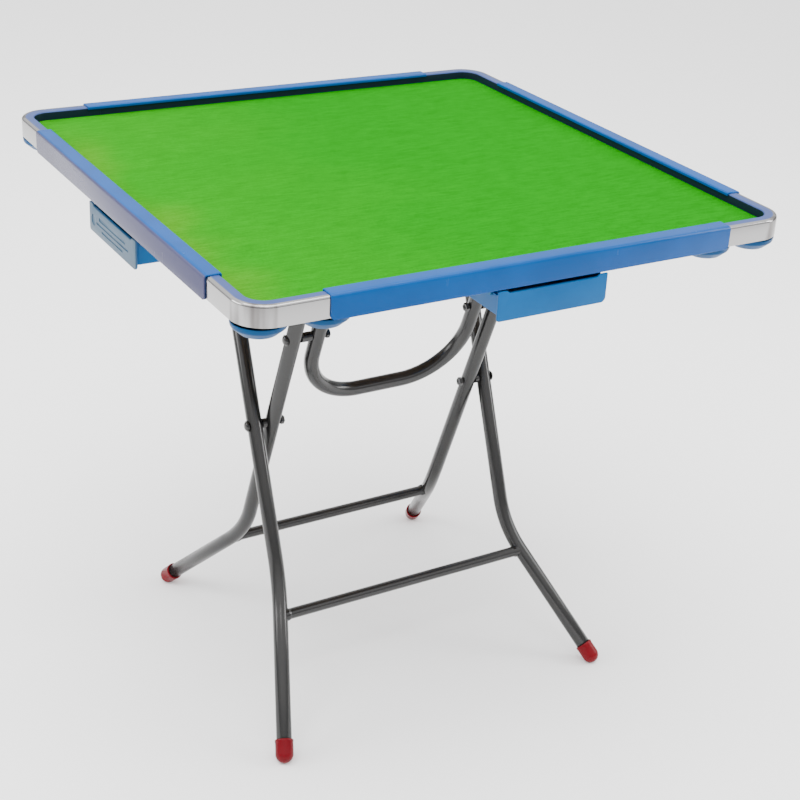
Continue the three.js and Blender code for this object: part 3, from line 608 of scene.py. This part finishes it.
# ---------- drawers ----------
DRAWER_WALL, FACE_THICKNESS, FACE_OVERLAP, FACE_DIP = 2 * MM, 3 * MM, 5 * MM, 3.5 * MM
RUNNER_WIDTH, RUNNER_SHORT = 4 * MM, 3 * MM
TRAY_CORNER_RADIUS, TRAY_FLOOR_FILLET, TRAY_LIP = 5 * MM, 3 * MM, 0.5 * MM
DIP_RUN, DIP_MARGIN = 5 * MM, 2 * MM
BAR_DEPTH, BADGE_RADIUS, BADGE_OFFSET = 0.9 * MM, 8 * MM, 66 * MM
SUNK_BARS = ((7, 92, 5), (-1, 112, 3), (-8, 74, 3))  # height, length and width, in millimetres


def plan_ring(low, high, inset, radius, z):
    """A rounded rectangle inside a box, at one height."""
    x0, x1, y0, y1 = low.x + inset, high.x - inset, low.y + inset, high.y - inset
    points = rounded([(x1, y1, radius), (x0, y1, radius), (x0, y0, radius), (x1, y0, radius)], 5)
    return [Vector((p.x, p.y, z)) for p in points]


def drawer_tray(low, high):
    """An open box with rounded corners and a fillet round its floor."""
    w, r, fillet, lip = DRAWER_WALL, TRAY_CORNER_RADIUS, TRAY_FLOOR_FILLET, TRAY_LIP
    rings = [plan_ring(low, high, w + fillet, r - w, low.z + w)]
    for rise in (0.35, 0.7, 1.0):
        swing = math.radians(90 * rise)
        rings.append(plan_ring(low, high, w + fillet * (1 - math.sin(swing)), r - w,
                               low.z + w + fillet * (1 - math.cos(swing))))
    rings.append(plan_ring(low, high, w, r - w, high.z - lip))
    rings.append(plan_ring(low, high, w - lip, r - w / 2, high.z))
    rings.append(plan_ring(low, high, lip, r - lip, high.z))
    rings.append(plan_ring(low, high, 0, r, high.z - lip))
    rings.append(plan_ring(low, high, 0, r, low.z + 2 * MM))
    rings.append(plan_ring(low, high, 0.6 * MM, r, low.z + 0.6 * MM))
    rings.append(plan_ring(low, high, 2 * MM, r - MM, low.z))
    return placed(loft("tray", rings))


def sunk_bars(middle, face_y, z):
    """Tools that sink plain bars and a disc into a drawer's face."""
    bars = []
    for row, (offset, length, height) in enumerate(SUNK_BARS):
        low = Vector((middle - length / 2 * MM, face_y - MM, z + (offset - height / 2) * MM))
        high = Vector((middle + length / 2 * MM, face_y + BAR_DEPTH, z + (offset + height / 2) * MM))
        bars.append(bevelled(placed(box_mesh(f"bar_{row}", low, high)), 0.6 * MM, 2))
    badge = arc(middle - BADGE_OFFSET, z, BADGE_RADIUS, 0, 345, 23)
    disc = placed(loft("badge", [[Vector((x, y, v)) for x, v in badge]
                                 for y in (face_y - MM, face_y + BAR_DEPTH)]))
    bars.append(bevelled(disc, 0.5 * MM, 2))
    return bars


def make_drawer(side, turns):
    low, high = box_at_front(f"drawer_{side}", turns)
    middle, face_in = (low.x + high.x) / 2, low.y + FACE_THICKNESS
    dip = FACE_DIP
    half = high.x - middle
    inner = half - 2 * FACE_OVERLAP - DIP_MARGIN
    shape = [(half, low.z, 7 * MM), (half, high.z, 1.5 * MM), (inner, high.z, 2 * MM),
             (inner - DIP_RUN, high.z - dip, 3 * MM), (DIP_RUN - inner, high.z - dip, 3 * MM),
             (-inner, high.z, 2 * MM), (-half, high.z, 1.5 * MM), (-half, low.z, 4 * MM)]
    outline = rounded(shape, 5)
    rings = [[Vector((middle + p.x, y, p.y)) for p in outline] for y in (low.y, face_in)]
    face = bevelled(placed(loft("face", rings)), 0.8 * MM, 3)
    tray_low = Vector((low.x + FACE_OVERLAP, face_in - MM, low.z + FACE_OVERLAP))
    tray_high = Vector((high.x - FACE_OVERLAP, high.y, high.z - dip))
    drawer = combine(face, drawer_tray(tray_low, tray_high))
    for edge, way in ((tray_low.x, -1), (tray_high.x, 1)):
        reach = sorted((edge - way * MM, edge + way * RUNNER_WIDTH))
        runner_top = tray_high.z - DRAWER_WALL
        runner = box_mesh("runner", Vector((reach[0], face_in + FACE_OVERLAP, runner_top - DRAWER_WALL)),
                          Vector((reach[1], high.y - RUNNER_SHORT, runner_top)))
        combine(drawer, bevelled(placed(runner), 0.4 * MM, 2))
    if side == "left":
        for bar in sunk_bars(middle, low.y, (low.z + high.z - dip) / 2):
            combine(drawer, bar, "DIFFERENCE")
    piece = copied(drawer, f"drawer_{side}_moulded", quarter_turn(turns))
    bpy.data.objects.remove(drawer)
    finished(piece, f"{side}_drawer", "drawer", f"drawer_{side}")


# ---------- cups ----------
CUP_RADIUS, CUP_FLOOR_RADIUS, CUP_DEPTH, CUP_WALL = 34 * MM, 22 * MM, 16 * MM, 2 * MM
CUP_REACH, CUP_BOSS_RADIUS, CUP_TOP_DROP = 78 * MM, 9 * MM, 3 * MM
CUP_TURN_HEIGHT, CUP_TURN_INSET = 10 * MM, 0.8 * MM  # where the bowl's side turns upright
ARM_THICKNESS, ARM_TIP_WIDTH, ARM_ROOT_WIDTH = 4.5 * MM, 16 * MM, 24 * MM


def cup_shape(top, boss_top):
    """A cup about its pivot at the origin, with its centre along +X."""
    floor = top - CUP_DEPTH
    bowl = rounded([
        (0, 0, 0), (CUP_FLOOR_RADIUS, 0, 4 * MM), (CUP_RADIUS - CUP_TURN_INSET, CUP_TURN_HEIGHT, 5 * MM),
        (CUP_RADIUS, CUP_DEPTH, 0.8 * MM), (CUP_RADIUS - CUP_WALL, CUP_DEPTH, 0.8 * MM),
        (CUP_RADIUS - CUP_WALL - CUP_TURN_INSET, CUP_TURN_HEIGHT + 0.4 * MM, 4 * MM),
        (CUP_FLOOR_RADIUS - 0.6 * MM, CUP_WALL, 4 * MM), (0, CUP_WALL, 0)], 5)
    cup = placed(lathe("bowl", bowl, Vector((CUP_REACH, 0, floor)), Z, 64))
    wall = CUP_RADIUS - CUP_WALL / 2
    rings = []
    for share in (0.0, 0.5, 1.0):
        half = (ARM_TIP_WIDTH + (ARM_ROOT_WIDTH - ARM_TIP_WIDTH) * share) / 2
        section = rounded([(half, top, 1.4 * MM), (-half, top, 1.4 * MM),
                           (-half, top - ARM_THICKNESS, MM), (half, top - ARM_THICKNESS, MM)], 3)
        end = [CUP_REACH - math.sqrt(wall ** 2 - p.x ** 2) for p in section]
        rings.append([Vector((share * x, p.x, p.y)) for x, p in zip(end, section)])
    combine(cup, placed(loft("arm", rings)))
    under = top - ARM_THICKNESS
    boss = rounded([(0, under, 0), (CUP_BOSS_RADIUS, under, MM), (CUP_BOSS_RADIUS, boss_top, 0.5 * MM),
                    (0, boss_top, 0)], 4)
    combine(cup, placed(lathe("boss", boss, Vector(), Z, 40)))
    return bevelled(cup, 0.35 * MM, 2, 40)


def make_cups():
    """All the cups; gives back the points where their pivot screws go in."""
    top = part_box("rim_rail_front")[0].z - CUP_TOP_DROP
    cup = cup_shape(top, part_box("edge_cup_front_left")[1].z)
    pivots = []
    for kind in ("edge", "corner"):
        for end in ("front", "back"):
            for hand in HANDS:
                node, body = f"{kind}_cup_{end}_{hand}", f"{end}_{hand}_{kind}_cup"
                pivot = Vector(JOINTS[f"{body}_swing"]["pos_m"])
                low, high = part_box(node)
                middle_x, middle_y = (a + CUP_RADIUS if abs(a) > abs(b) else b - CUP_RADIUS
                                      for a, b in ((low.x, high.x), (low.y, high.y)))
                angle = math.atan2(middle_y - pivot.y, middle_x - pivot.x)
                place = Matrix.Translation((pivot.x, pivot.y, 0)) @ Matrix.Rotation(angle, 4, "Z")
                finished(copied(cup, f"{node}_moulded", place), body, "cup", node)
                pivots.append(Vector((pivot.x, pivot.y, top - ARM_THICKNESS)))
    bpy.data.objects.remove(cup)
    return pivots


# ---------- legs ----------
TUBE_RADIUS, TUBE_WALL, BAR_RADIUS = 11 * MM, 1.2 * MM, 8 * MM
FRONT_LEAN, REAR_LEAN = math.radians(22.2), math.radians(21.1)
FRONT_LEG_X, LEG_SPACING, BRACE_SPACING = 196 * MM, 28.5 * MM, 38 * MM
FRONT_BEND_HEIGHT, REAR_BEND_HEIGHT, LEG_BEND_RADIUS = 176 * MM, 166 * MM, 180 * MM
FOOT_SPLAY_X, FOOT_SPLAY_Y = 0.42, 1.0
FRONT_TOP_DROP, TUBE_PAST_PIN = 91.8 * MM, 10 * MM
BRACE_BEND_RADIUS, BRACE_LENGTH, BRACE_BOLT_DROP = 93 * MM, 300.6 * MM, 169.6 * MM
FRONT_BAR_BELOW_BEND, REAR_BAR_BELOW_BEND = 47 * MM, 40 * MM
CAP_RADIUS, CAP_LENGTH, CAP_FLAT_DEPTH = 12.9 * MM, 20 * MM, 1.5 * MM
CAP_FLOOR, CAP_BORE_GAP = 3 * MM, 0.2 * MM
TUBE_END_ABOVE_FOOT, SEAT_GAP = 4 * MM, 0.05 * MM
REAR_LEG_X = FRONT_LEG_X - LEG_SPACING
BRACE_X = REAR_LEG_X - BRACE_SPACING
CROSSING = Vector(JOINTS["scissor"]["pos_m"])
HINGE = Vector(JOINTS["leg_fold"]["pos_m"])
HINGE_UP = (HINGE.z - CROSSING.z) / math.cos(REAR_LEAN)
FRONT_TOP_UP = (HINGE.z - CROSSING.z - FRONT_TOP_DROP) / math.cos(FRONT_LEAN)


def on_leg(x, up, lean, way):
    """A point at x, and up the leg from the crossing bolts; way is which way its top leans in Y."""
    return Vector((x, way * up * math.sin(lean), CROSSING.z + up * math.cos(lean)))


def on_front(x, up):
    return on_leg(x, up, FRONT_LEAN, 1)


def on_rear(x, up):
    return on_leg(x, up, REAR_LEAN, -1)


def bent_line(corners, radius, steps):
    """Points along a line whose corners are rounded to arcs."""
    points = [corners[0]]
    for before, corner, after in zip(corners, corners[1:], corners[2:]):
        points += corner_arc(before, corner, after, radius, steps)
    points.append(corners[-1])
    return points


def frames_along(points):
    """A right-angled pair at each point that turns no more than the line does."""
    ways = [(b - a).normalized() for a, b in zip(points, points[1:])]
    tangents = [ways[0]] + [(a + b).normalized() for a, b in zip(ways, ways[1:])] + [ways[-1]]
    side = tangents[0].orthogonal().normalized()
    frames = []
    for i, tangent in enumerate(tangents):
        if i:
            side = tangents[i - 1].rotation_difference(tangent) @ side
        frames.append((side, tangent.cross(side)))
    return frames


def tube_mesh(name, points, radius, wall=0, sides=36):
    """A round tube along points, hollow if it has a wall."""
    frames = frames_along(points)
    edge = 0.35 * wall

    def ring(i, r, shift=0.0):
        side, other = frames[i]
        way = side.cross(other)
        spokes = [2 * math.pi * k / sides for k in range(sides)]
        return [points[i] + way * shift + (side * math.cos(a) + other * math.sin(a)) * r for a in spokes]

    outer = [ring(i, radius) for i in range(len(points))]
    if not wall:
        return loft(name, outer)
    last = len(points) - 1
    outer[0] = ring(0, radius, edge)
    outer[last] = ring(last, radius, -edge)
    lips = [ring(last, radius - edge), ring(last, radius - wall + edge)]
    starts = [ring(0, radius - wall + edge), ring(0, radius - edge)]
    inner = [ring(i, radius - wall) for i in reversed(range(len(points)))]
    return loft(name, outer + lips + inner + starts, closed=True)


FRONT_BEND = on_front(FRONT_LEG_X, (FRONT_BEND_HEIGHT - CROSSING.z) / math.cos(FRONT_LEAN))
REAR_BEND = on_rear(REAR_LEG_X, (REAR_BEND_HEIGHT - CROSSING.z) / math.cos(REAR_LEAN))


def foot_of(bend, way):
    """The middle of a foot cap's dome, below and outward of a leg's bend."""
    dome = CAP_RADIUS - CAP_FLAT_DEPTH
    drop = bend.z - dome
    return Vector((bend.x + FOOT_SPLAY_X * drop, bend.y + way * FOOT_SPLAY_Y * drop, dome))


def both_hands(piece, name, body, slot, node, **look):
    """A right-hand piece and its mirror image."""
    for hand, sign in HANDS.items():
        mirror = Matrix.Diagonal((sign, 1, 1, 1))
        finished(copied(piece, f"{name}_{hand}", mirror), body, slot, f"{node}_{hand}", **look)
    bpy.data.objects.remove(piece)


def make_leg(kind, body, top, bend, foot, bar_below):
    rise = (bend - foot).normalized()
    line = bent_line([top, bend, foot + rise * TUBE_END_ABOVE_FOOT], LEG_BEND_RADIUS, 22)
    leg = placed(tube_mesh("leg", line, TUBE_RADIUS, TUBE_WALL))
    both_hands(leg, f"{kind}_leg_tube", body, "tube", f"{kind}_leg", smooth=60)
    end = bend - rise * bar_below
    start = Vector((-end.x, end.y, end.z))
    bar = placed(weld_bar("bar", start, end), f"{kind}_crossbar_tube")
    for sign in HANDS.values():
        seat = placed(tube_mesh("seat", [Vector((sign * p.x, p.y, p.z)) for p in line],
                                TUBE_RADIUS + SEAT_GAP, sides=48))
        combine(bar, seat, "DIFFERENCE")
    keep_middle(bar)
    finished(bar, body, "tube", f"{kind}_crossbar", smooth=50)


def weld_bar(name, start, end):
    """A bar whose ends swell into the weld bead that joins it to a leg."""
    way = (end - start).normalized()
    length = (end - start).length
    reaches = [0, TUBE_RADIUS * 0.9, TUBE_RADIUS + 0.6 * MM, TUBE_RADIUS + 2.2 * MM,
               TUBE_RADIUS + 3.4 * MM, TUBE_RADIUS + 5 * MM]
    swells = [1.5 * MM, 1.5 * MM, 1.4 * MM, 0.9 * MM, 0.25 * MM, 0]
    bead = list(zip(reaches, swells))
    stations = bead + [(length - reach, swell) for reach, swell in reversed(bead)]
    side = way.orthogonal().normalized()
    other = way.cross(side)
    rings = []
    for reach, swell in stations:
        radius = BAR_RADIUS + swell
        rings.append([start + way * reach + (side * math.cos(a) + other * math.sin(a)) * radius
                      for a in (2 * math.pi * k / 32 for k in range(32))])
    return loft(name, rings)


def keep_middle(piece):
    """Leaves only the part of a mesh that is joined to its middle."""
    made = bmesh.new()
    made.from_mesh(piece.data)
    made.verts.ensure_lookup_table()
    unseen = set(made.verts)
    islands = []
    while unseen:
        stack, island = [unseen.pop()], []
        while stack:
            vertex = stack.pop()
            island.append(vertex)
            for edge in vertex.link_edges:
                other = edge.other_vert(vertex)
                if other in unseen:
                    unseen.remove(other)
                    stack.append(other)
        islands.append(island)
    widest = max(islands, key=lambda isle: max(v.co.x for v in isle) - min(v.co.x for v in isle))
    spare = [v for isle in islands if isle is not widest for v in isle]
    bmesh.ops.delete(made, geom=spare, context="VERTS")
    made.to_mesh(piece.data)
    made.free()


def make_cap(kind, body, bend, foot):
    rise = (bend - foot).normalized()
    lip, bore = CAP_LENGTH, TUBE_RADIUS + CAP_BORE_GAP
    dome = [Vector(p) for p in arc(0, 0, CAP_RADIUS, -90, 0, 14)]
    skirt = [Vector((CAP_RADIUS, lip - 4.2 * MM)), Vector((CAP_RADIUS + 0.35 * MM, lip - 3.4 * MM)),
             Vector((CAP_RADIUS + 0.45 * MM, lip - 1.2 * MM)), Vector((CAP_RADIUS, lip - 0.2 * MM)),
             Vector((CAP_RADIUS - 0.9 * MM, lip)), Vector((bore, lip - 0.3 * MM)),
             Vector((bore, CAP_FLOOR)), Vector((0, CAP_FLOOR))]
    cap = placed(lathe("cap", dome + skirt, foot, rise, 40))
    made = bmesh.new()
    made.from_mesh(cap.data)
    geometry = made.verts[:] + made.edges[:] + made.faces[:]
    cut = bmesh.ops.bisect_plane(made, geom=geometry, plane_co=(0, 0, 0), plane_no=(0, 0, -1),
                                 clear_outer=True)
    edges = [part for part in cut["geom_cut"] if isinstance(part, bmesh.types.BMEdge)]
    bmesh.ops.holes_fill(made, edges=edges)
    bmesh.ops.recalc_face_normals(made, faces=made.faces)
    made.to_mesh(cap.data)
    made.free()
    both_hands(cap, f"foot_cap_{kind}_moulded", body, "cap", f"foot_cap_{kind}", smooth=50)


def make_legs():
    front_foot, rear_foot = foot_of(FRONT_BEND, -1), foot_of(REAR_BEND, 1)
    front_top = on_front(FRONT_LEG_X, FRONT_TOP_UP + TUBE_PAST_PIN)
    rear_top = on_rear(REAR_LEG_X, HINGE_UP + TUBE_PAST_PIN)
    make_leg("front", "front_leg_frame", front_top, FRONT_BEND, front_foot, FRONT_BAR_BELOW_BEND)
    make_leg("rear", "rear_leg_frame", rear_top, REAR_BEND, rear_foot, REAR_BAR_BELOW_BEND)
    make_cap("front", "front_leg_frame", FRONT_BEND, front_foot)
    make_cap("rear", "rear_leg_frame", REAR_BEND, rear_foot)
    bottom = HINGE_UP - BRACE_LENGTH
    corners = [on_rear(-BRACE_X, HINGE_UP + TUBE_PAST_PIN), on_rear(-BRACE_X, bottom),
               on_rear(BRACE_X, bottom), on_rear(BRACE_X, HINGE_UP + TUBE_PAST_PIN)]
    line = bent_line(corners, BRACE_BEND_RADIUS, 28)
    brace = placed(tube_mesh("brace", line, TUBE_RADIUS, TUBE_WALL), "brace_tube_bent")
    finished(brace, "rear_leg_frame", "tube", "brace_tube", smooth=60)


# ---------- bolts and pins ----------
def dome_head(x, radius, height):
    """A washer and a domed head, from the face that it clamps."""
    washer = [(radius + MM, x), (radius + MM, x + MM), (radius, x + MM)]
    dome = [(radius * math.cos(a), x + MM + (height - MM) * math.sin(a))
            for a in (math.pi / 2 * k / 8 for k in range(9))]
    return washer + dome


def hex_nut(x, length, radius, point):
    """A six-sided nut about an axis along X."""
    rings = []
    for reach, share in ((0, 0.9), (0.12, 1.0), (0.88, 1.0), (1.0, 0.9)):
        rings.append([Vector((x + length * reach, point.y + radius * share * math.cos(a),
                              point.z + radius * share * math.sin(a)))
                      for a in (math.pi / 3 * k for k in range(6))])
    return placed(loft("nut", rings))


def turned_pin(name, steps, point):
    """A pin along X, from (radius, x) points."""
    outline = [Vector((r, x)) for r, x in [(0, steps[0][1]), *steps, (0, steps[-1][1])]]
    return placed(lathe(name, outline, Vector((0, point.y, point.z)), X, 36))


BOLT_GAP, PIN_RADIUS, SPACER_RADIUS = 0.3 * MM, 4 * MM, 7 * MM
NUT_RADIUS, NUT_LENGTH, HEAD_RADIUS, HEAD_HEIGHT = 7 * MM, 6 * MM, 7 * MM, 4.6 * MM
PIN_FLANGE, PIN_CHAMFER, RIVET_HEAD = 2 * MM, 0.5 * MM, 1.8 * MM


def make_bolts():
    gap, pin, spacer = BOLT_GAP, PIN_RADIUS, SPACER_RADIUS
    nut, nut_length = NUT_RADIUS, NUT_LENGTH
    t = TUBE_RADIUS
    crossing_low = REAR_LEG_X - t - gap
    steps = [(pin, crossing_low - nut_length), (pin, REAR_LEG_X + t + gap),
             (spacer, REAR_LEG_X + t + gap), (spacer, FRONT_LEG_X - t - gap),
             (pin, FRONT_LEG_X - t - gap), (pin, FRONT_LEG_X + t + gap),
             *dome_head(FRONT_LEG_X + t + gap, HEAD_RADIUS, HEAD_HEIGHT)]
    bolt = turned_pin("bolt", steps, CROSSING)
    joined(bolt, hex_nut(crossing_low - nut_length, nut_length, nut, CROSSING))
    both_hands(bolt, "crossing_bolt_turned", "rear_leg_frame", "steel", "crossing_bolt", finish="tube")
    point = on_rear(0, HINGE_UP - BRACE_BOLT_DROP)
    low = BRACE_X - t - gap
    steps = [(pin, low - nut_length), (pin, BRACE_X + t + gap), (spacer, BRACE_X + t + gap),
             (spacer, REAR_LEG_X - t - gap), (pin, REAR_LEG_X - t - gap), (pin, REAR_LEG_X + t + gap),
             *dome_head(REAR_LEG_X + t + gap, HEAD_RADIUS, HEAD_HEIGHT)]
    bolt = turned_pin("bolt", steps, point)
    joined(bolt, hex_nut(low - nut_length, nut_length, nut, point))
    both_hands(bolt, "brace_bolt_turned", "rear_leg_frame", "steel", "brace_bolt", finish="tube")
    low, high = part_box("hinge_pin_right")
    flange = (high.z - low.z) / 2
    steps = [(flange - PIN_CHAMFER, low.x), (flange, low.x + PIN_CHAMFER),
             (flange, low.x + PIN_FLANGE), (pin, low.x + PIN_FLANGE),
             (pin, high.x - PIN_FLANGE), (flange, high.x - PIN_FLANGE),
             (flange, high.x - PIN_CHAMFER), (flange - PIN_CHAMFER, high.x)]
    both_hands(turned_pin("pin", steps, HINGE), "hinge_pin_turned", "tabletop", "steel", "hinge_pin")
    for node, body in (("prop_rivet", "tabletop"), ("prop_bolt", None)):
        low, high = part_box(f"{node}_right")
        point = (low + high) / 2
        head = (high.z - low.z) / 2
        steps = [(head / 2, low.x), (head / 2, high.x - RIVET_HEAD), (head, high.x - RIVET_HEAD),
                 (head * 0.9, high.x - MM), (head * 0.6, high.x - 0.3 * MM), (head * 0.25, high.x)]
        rivet = turned_pin("rivet", steps, point)
        for hand, sign in HANDS.items():
            mirror = Matrix.Diagonal((sign, 1, 1, 1))
            finished(copied(rivet, f"{node}_turned_{hand}", mirror), body or f"{hand}_prop", "steel",
                     f"{node}_{hand}")
        bpy.data.objects.remove(rivet)


# ---------- plain CAD pieces that only need softened edges ----------
def soften(node, slot, width, finish=None):
    """A copy of a CAD node with welded faces and bevelled edges."""
    piece = placed(frame["nodes"][node].data.copy(), f"{node}_pressed")
    modified(piece, "WELD", merge_threshold=1e-5)
    baked(piece)
    made = bmesh.new()
    made.from_mesh(piece.data)
    bmesh.ops.dissolve_limit(made, angle_limit=math.radians(1), verts=made.verts, edges=made.edges)
    made.to_mesh(piece.data)
    made.free()
    bevelled(piece, width, 2, 40)
    bodies = frame["record"]["behaviour"]["bodies"].items()
    body = next(name for name, members in bodies if node in members)
    finished(piece, body, slot, node, finish=finish)


def make_pressed_pieces():
    for side in SIDES:
        soften(f"drawer_cradle_{side}", "cradle", 0.5 * MM)
    for hand in HANDS:
        soften(f"hinge_bracket_{hand}", "steel", 0.4 * MM)
        soften(f"prop_bracket_{hand}", "steel", 0.4 * MM)
        soften(f"prop_link_{hand}", "tube", 0.5 * MM)
        soften(f"board_batten_{hand}", "board", 0.8 * MM, finish="batten")
    soften("playing_board", "board", 0.6 * MM)


# ---------- screws ----------
def screw_tree():
    """Geometry Nodes: a pan-head screw with its head down at each point."""
    tree = bpy.data.node_groups.new("pan head screws", "GeometryNodeTree")
    face = tree.interface
    face.new_socket("Points", in_out="INPUT", socket_type="NodeSocketGeometry")
    for label, value in (("Head Radius", 4 * MM), ("Head Height", 2 * MM), ("Slot Width", MM)):
        socket = face.new_socket(label, in_out="INPUT", socket_type="NodeSocketFloat")
        socket.default_value = value
    face.new_socket("Finish", in_out="INPUT", socket_type="NodeSocketMaterial")
    face.new_socket("Screws", in_out="OUTPUT", socket_type="NodeSocketGeometry")

    def node(kind, settings=None, **links):
        made = tree.nodes.new(kind)
        for name, value in (settings or {}).items():
            setattr(made, name, value)
        for name, value in links.items():
            socket = made.inputs[name.replace("_", " ")]
            if isinstance(value, bpy.types.NodeSocket):
                tree.links.new(value, socket)
            else:
                socket.default_value = value
        return made

    given = node("NodeGroupInput").outputs
    head = node("GeometryNodeMeshCone", {}, Vertices=20, Radius_Bottom=given["Head Radius"],
                Depth=given["Head Height"])
    top_radius = node("ShaderNodeMath", {"operation": "MULTIPLY"})
    tree.links.new(given["Head Radius"], top_radius.inputs[0])
    top_radius.inputs[1].default_value = 0.72
    tree.links.new(top_radius.outputs[0], head.inputs["Radius Top"])
    size = node("ShaderNodeCombineXYZ", {}, Y=given["Slot Width"], Z=given["Slot Width"])
    length = node("ShaderNodeMath", {"operation": "MULTIPLY"})
    tree.links.new(given["Head Radius"], length.inputs[0])
    length.inputs[1].default_value = 1.2
    tree.links.new(length.outputs[0], size.inputs["X"])
    bar = node("GeometryNodeMeshCube", {}, Size=size.outputs[0])
    lift = node("ShaderNodeCombineXYZ", {}, Z=given["Head Height"])
    raised = node("GeometryNodeTransform", {}, Geometry=bar.outputs[0], Translation=lift.outputs[0])
    crossed = node("GeometryNodeTransform", {}, Geometry=raised.outputs[0],
                   Rotation=(0, 0, math.pi / 2))
    slots = node("GeometryNodeJoinGeometry")
    tree.links.new(raised.outputs[0], slots.inputs[0])
    tree.links.new(crossed.outputs[0], slots.inputs[0])
    cut = node("GeometryNodeMeshBoolean", {"operation": "DIFFERENCE"})
    tree.links.new(head.outputs[0], cut.inputs["Mesh 1"])
    tree.links.new(slots.outputs[0], cut.inputs["Mesh 2"])
    spin = node("FunctionNodeRandomValue", {"data_type": "FLOAT"}, Seed=7)
    spin.inputs[3].default_value = 6.28
    turn = node("ShaderNodeCombineXYZ", {}, X=math.pi, Z=spin.outputs[1])
    spread = node("GeometryNodeInstanceOnPoints", {}, Points=given["Points"],
                  Instance=cut.outputs[0], Rotation=turn.outputs[0])
    real = node("GeometryNodeRealizeInstances", {}, Geometry=spread.outputs[0])
    painted = node("GeometryNodeSetMaterial", {}, Geometry=real.outputs[0], Material=given["Finish"])
    node("NodeGroupOutput", {}, Screws=painted.outputs[0])
    return tree


def make_screws(name, points, radius, tree):
    points_mesh = bpy.data.meshes.new(name)
    points_mesh.from_pydata([tuple(p) for p in points], [], [])
    screws = placed(points_mesh, name)
    modifier = screws.modifiers.new("screws", "NODES")
    modifier.node_group = tree
    inputs = {item.name: item.identifier for item in tree.interface.items_tree if item.in_out == "INPUT"}
    modifier[inputs["Head Radius"]] = radius
    modifier[inputs["Head Height"]] = radius * 0.5
    modifier[inputs["Slot Width"]] = radius * 0.26
    modifier[inputs["Finish"]] = FINISHES["steel"]
    baked(screws)
    finished(screws, "tabletop", "steel")


PLATE, HINGE_SCREW_SPREAD = 2 * MM, 18 * MM
PIVOT_SCREW_RADIUS, PLATE_SCREW_RADIUS = 5 * MM, 3.6 * MM


def make_fasteners(pivots):
    """Screws for the cups' pivots, and for all that is fixed to the board's underside."""
    tree = screw_tree()
    make_screws("cup_pivot_screws", [p - Z * 0.1 * MM for p in pivots], PIVOT_SCREW_RADIUS, tree)
    points = []
    for node, inset in (("hinge_bracket", 7), ("prop_bracket", 6)):
        for hand in HANDS:
            low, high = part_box(f"{node}_{hand}")
            plate = high.z - PLATE
            across = (low.x + high.x) / 2
            spots = [across]
            if node == "hinge_bracket":
                spots = [across - HINGE_SCREW_SPREAD, across + HINGE_SCREW_SPREAD]
            points += [Vector((x, y, plate)) for x in spots
                       for y in (low.y + inset * MM, high.y - inset * MM)]
    for i, side in enumerate(SIDES):
        low, high = box_at_front(f"drawer_cradle_{side}", i)
        middle = (low.x + high.x) / 2
        points += [quarter_turn(i) @ Vector((middle + x * MM, y, high.z - PLATE))
                   for x in (-50, 50) for y in (low.y + 12 * MM, high.y - 12 * MM)]
    for hand in HANDS:
        low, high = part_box(f"board_batten_{hand}")
        points += [Vector(((low.x + high.x) / 2, y, low.z))
                   for y in (low.y + 30 * MM, 0, high.y - 30 * MM)]
    make_screws("underside_screws", points, PLATE_SCREW_RADIUS, tree)


# ---------- studio ----------
FLOOR_HALF, FLOOR_TOP, FLOOR_BOTTOM = 30, -0.4 * MM, -20 * MM
HORIZON, SKY = (0.14, 0.145, 0.15), (1, 1, 1)
SKY_STRENGTH = 2.1


def make_light(name, place, aim, size, power):
    data = bpy.data.lights.new(name, "AREA")
    data.shape = "RECTANGLE"
    data.size, data.size_y = size
    data.energy = power
    lamp = bpy.data.objects.new(name, data)
    bpy.context.scene.collection.objects.link(lamp)
    way = Vector(aim) - Vector(place)
    lamp.matrix_world = Matrix.Translation(place) @ way.to_track_quat("-Z", "Y").to_matrix().to_4x4()


def make_studio():
    low = Vector((-FLOOR_HALF, -FLOOR_HALF, FLOOR_BOTTOM))
    high = Vector((FLOOR_HALF, FLOOR_HALF, FLOOR_TOP))
    floor = placed(box_mesh("floor", low, high))
    floor.data.materials.append(floor_finish())
    world = bpy.data.worlds.new("studio")
    world.use_nodes = True
    nodes, links = world.node_tree.nodes, world.node_tree.links
    where = nodes.new("ShaderNodeTexCoord")
    split = nodes.new("ShaderNodeSeparateXYZ")
    ramp = nodes.new("ShaderNodeValToRGB")
    horizon, sky = ramp.color_ramp.elements
    horizon.color = (*HORIZON, 1)
    sky.color = (*SKY, 1)
    sky.position = 0.55
    links.new(where.outputs["Generated"], split.inputs[0])
    links.new(split.outputs["Z"], ramp.inputs[0])
    links.new(ramp.outputs[0], nodes["Background"].inputs["Color"])
    nodes["Background"].inputs["Strength"].default_value = SKY_STRENGTH
    bpy.context.scene.world = world
    make_light("overhead", (-0.4, -0.3, 3.6), (0, 0, 0), (3.2, 3.2), 190)
    make_light("left window", (-3.4, 1.4, 2.2), (0, 0, 0.6), (2.4, 1.8), 90)
    make_light("right strip", (3.0, -1.4, 1.8), (0, 0, 0.5), (0.7, 2.2), 60)


make_cloth()
make_rim()
make_guards()
for turns, drawer_side in enumerate(SIDES):
    make_drawer(drawer_side, turns)
cup_pivots = make_cups()
make_legs()
make_bolts()
make_pressed_pieces()
make_fasteners(cup_pivots)
make_studio()
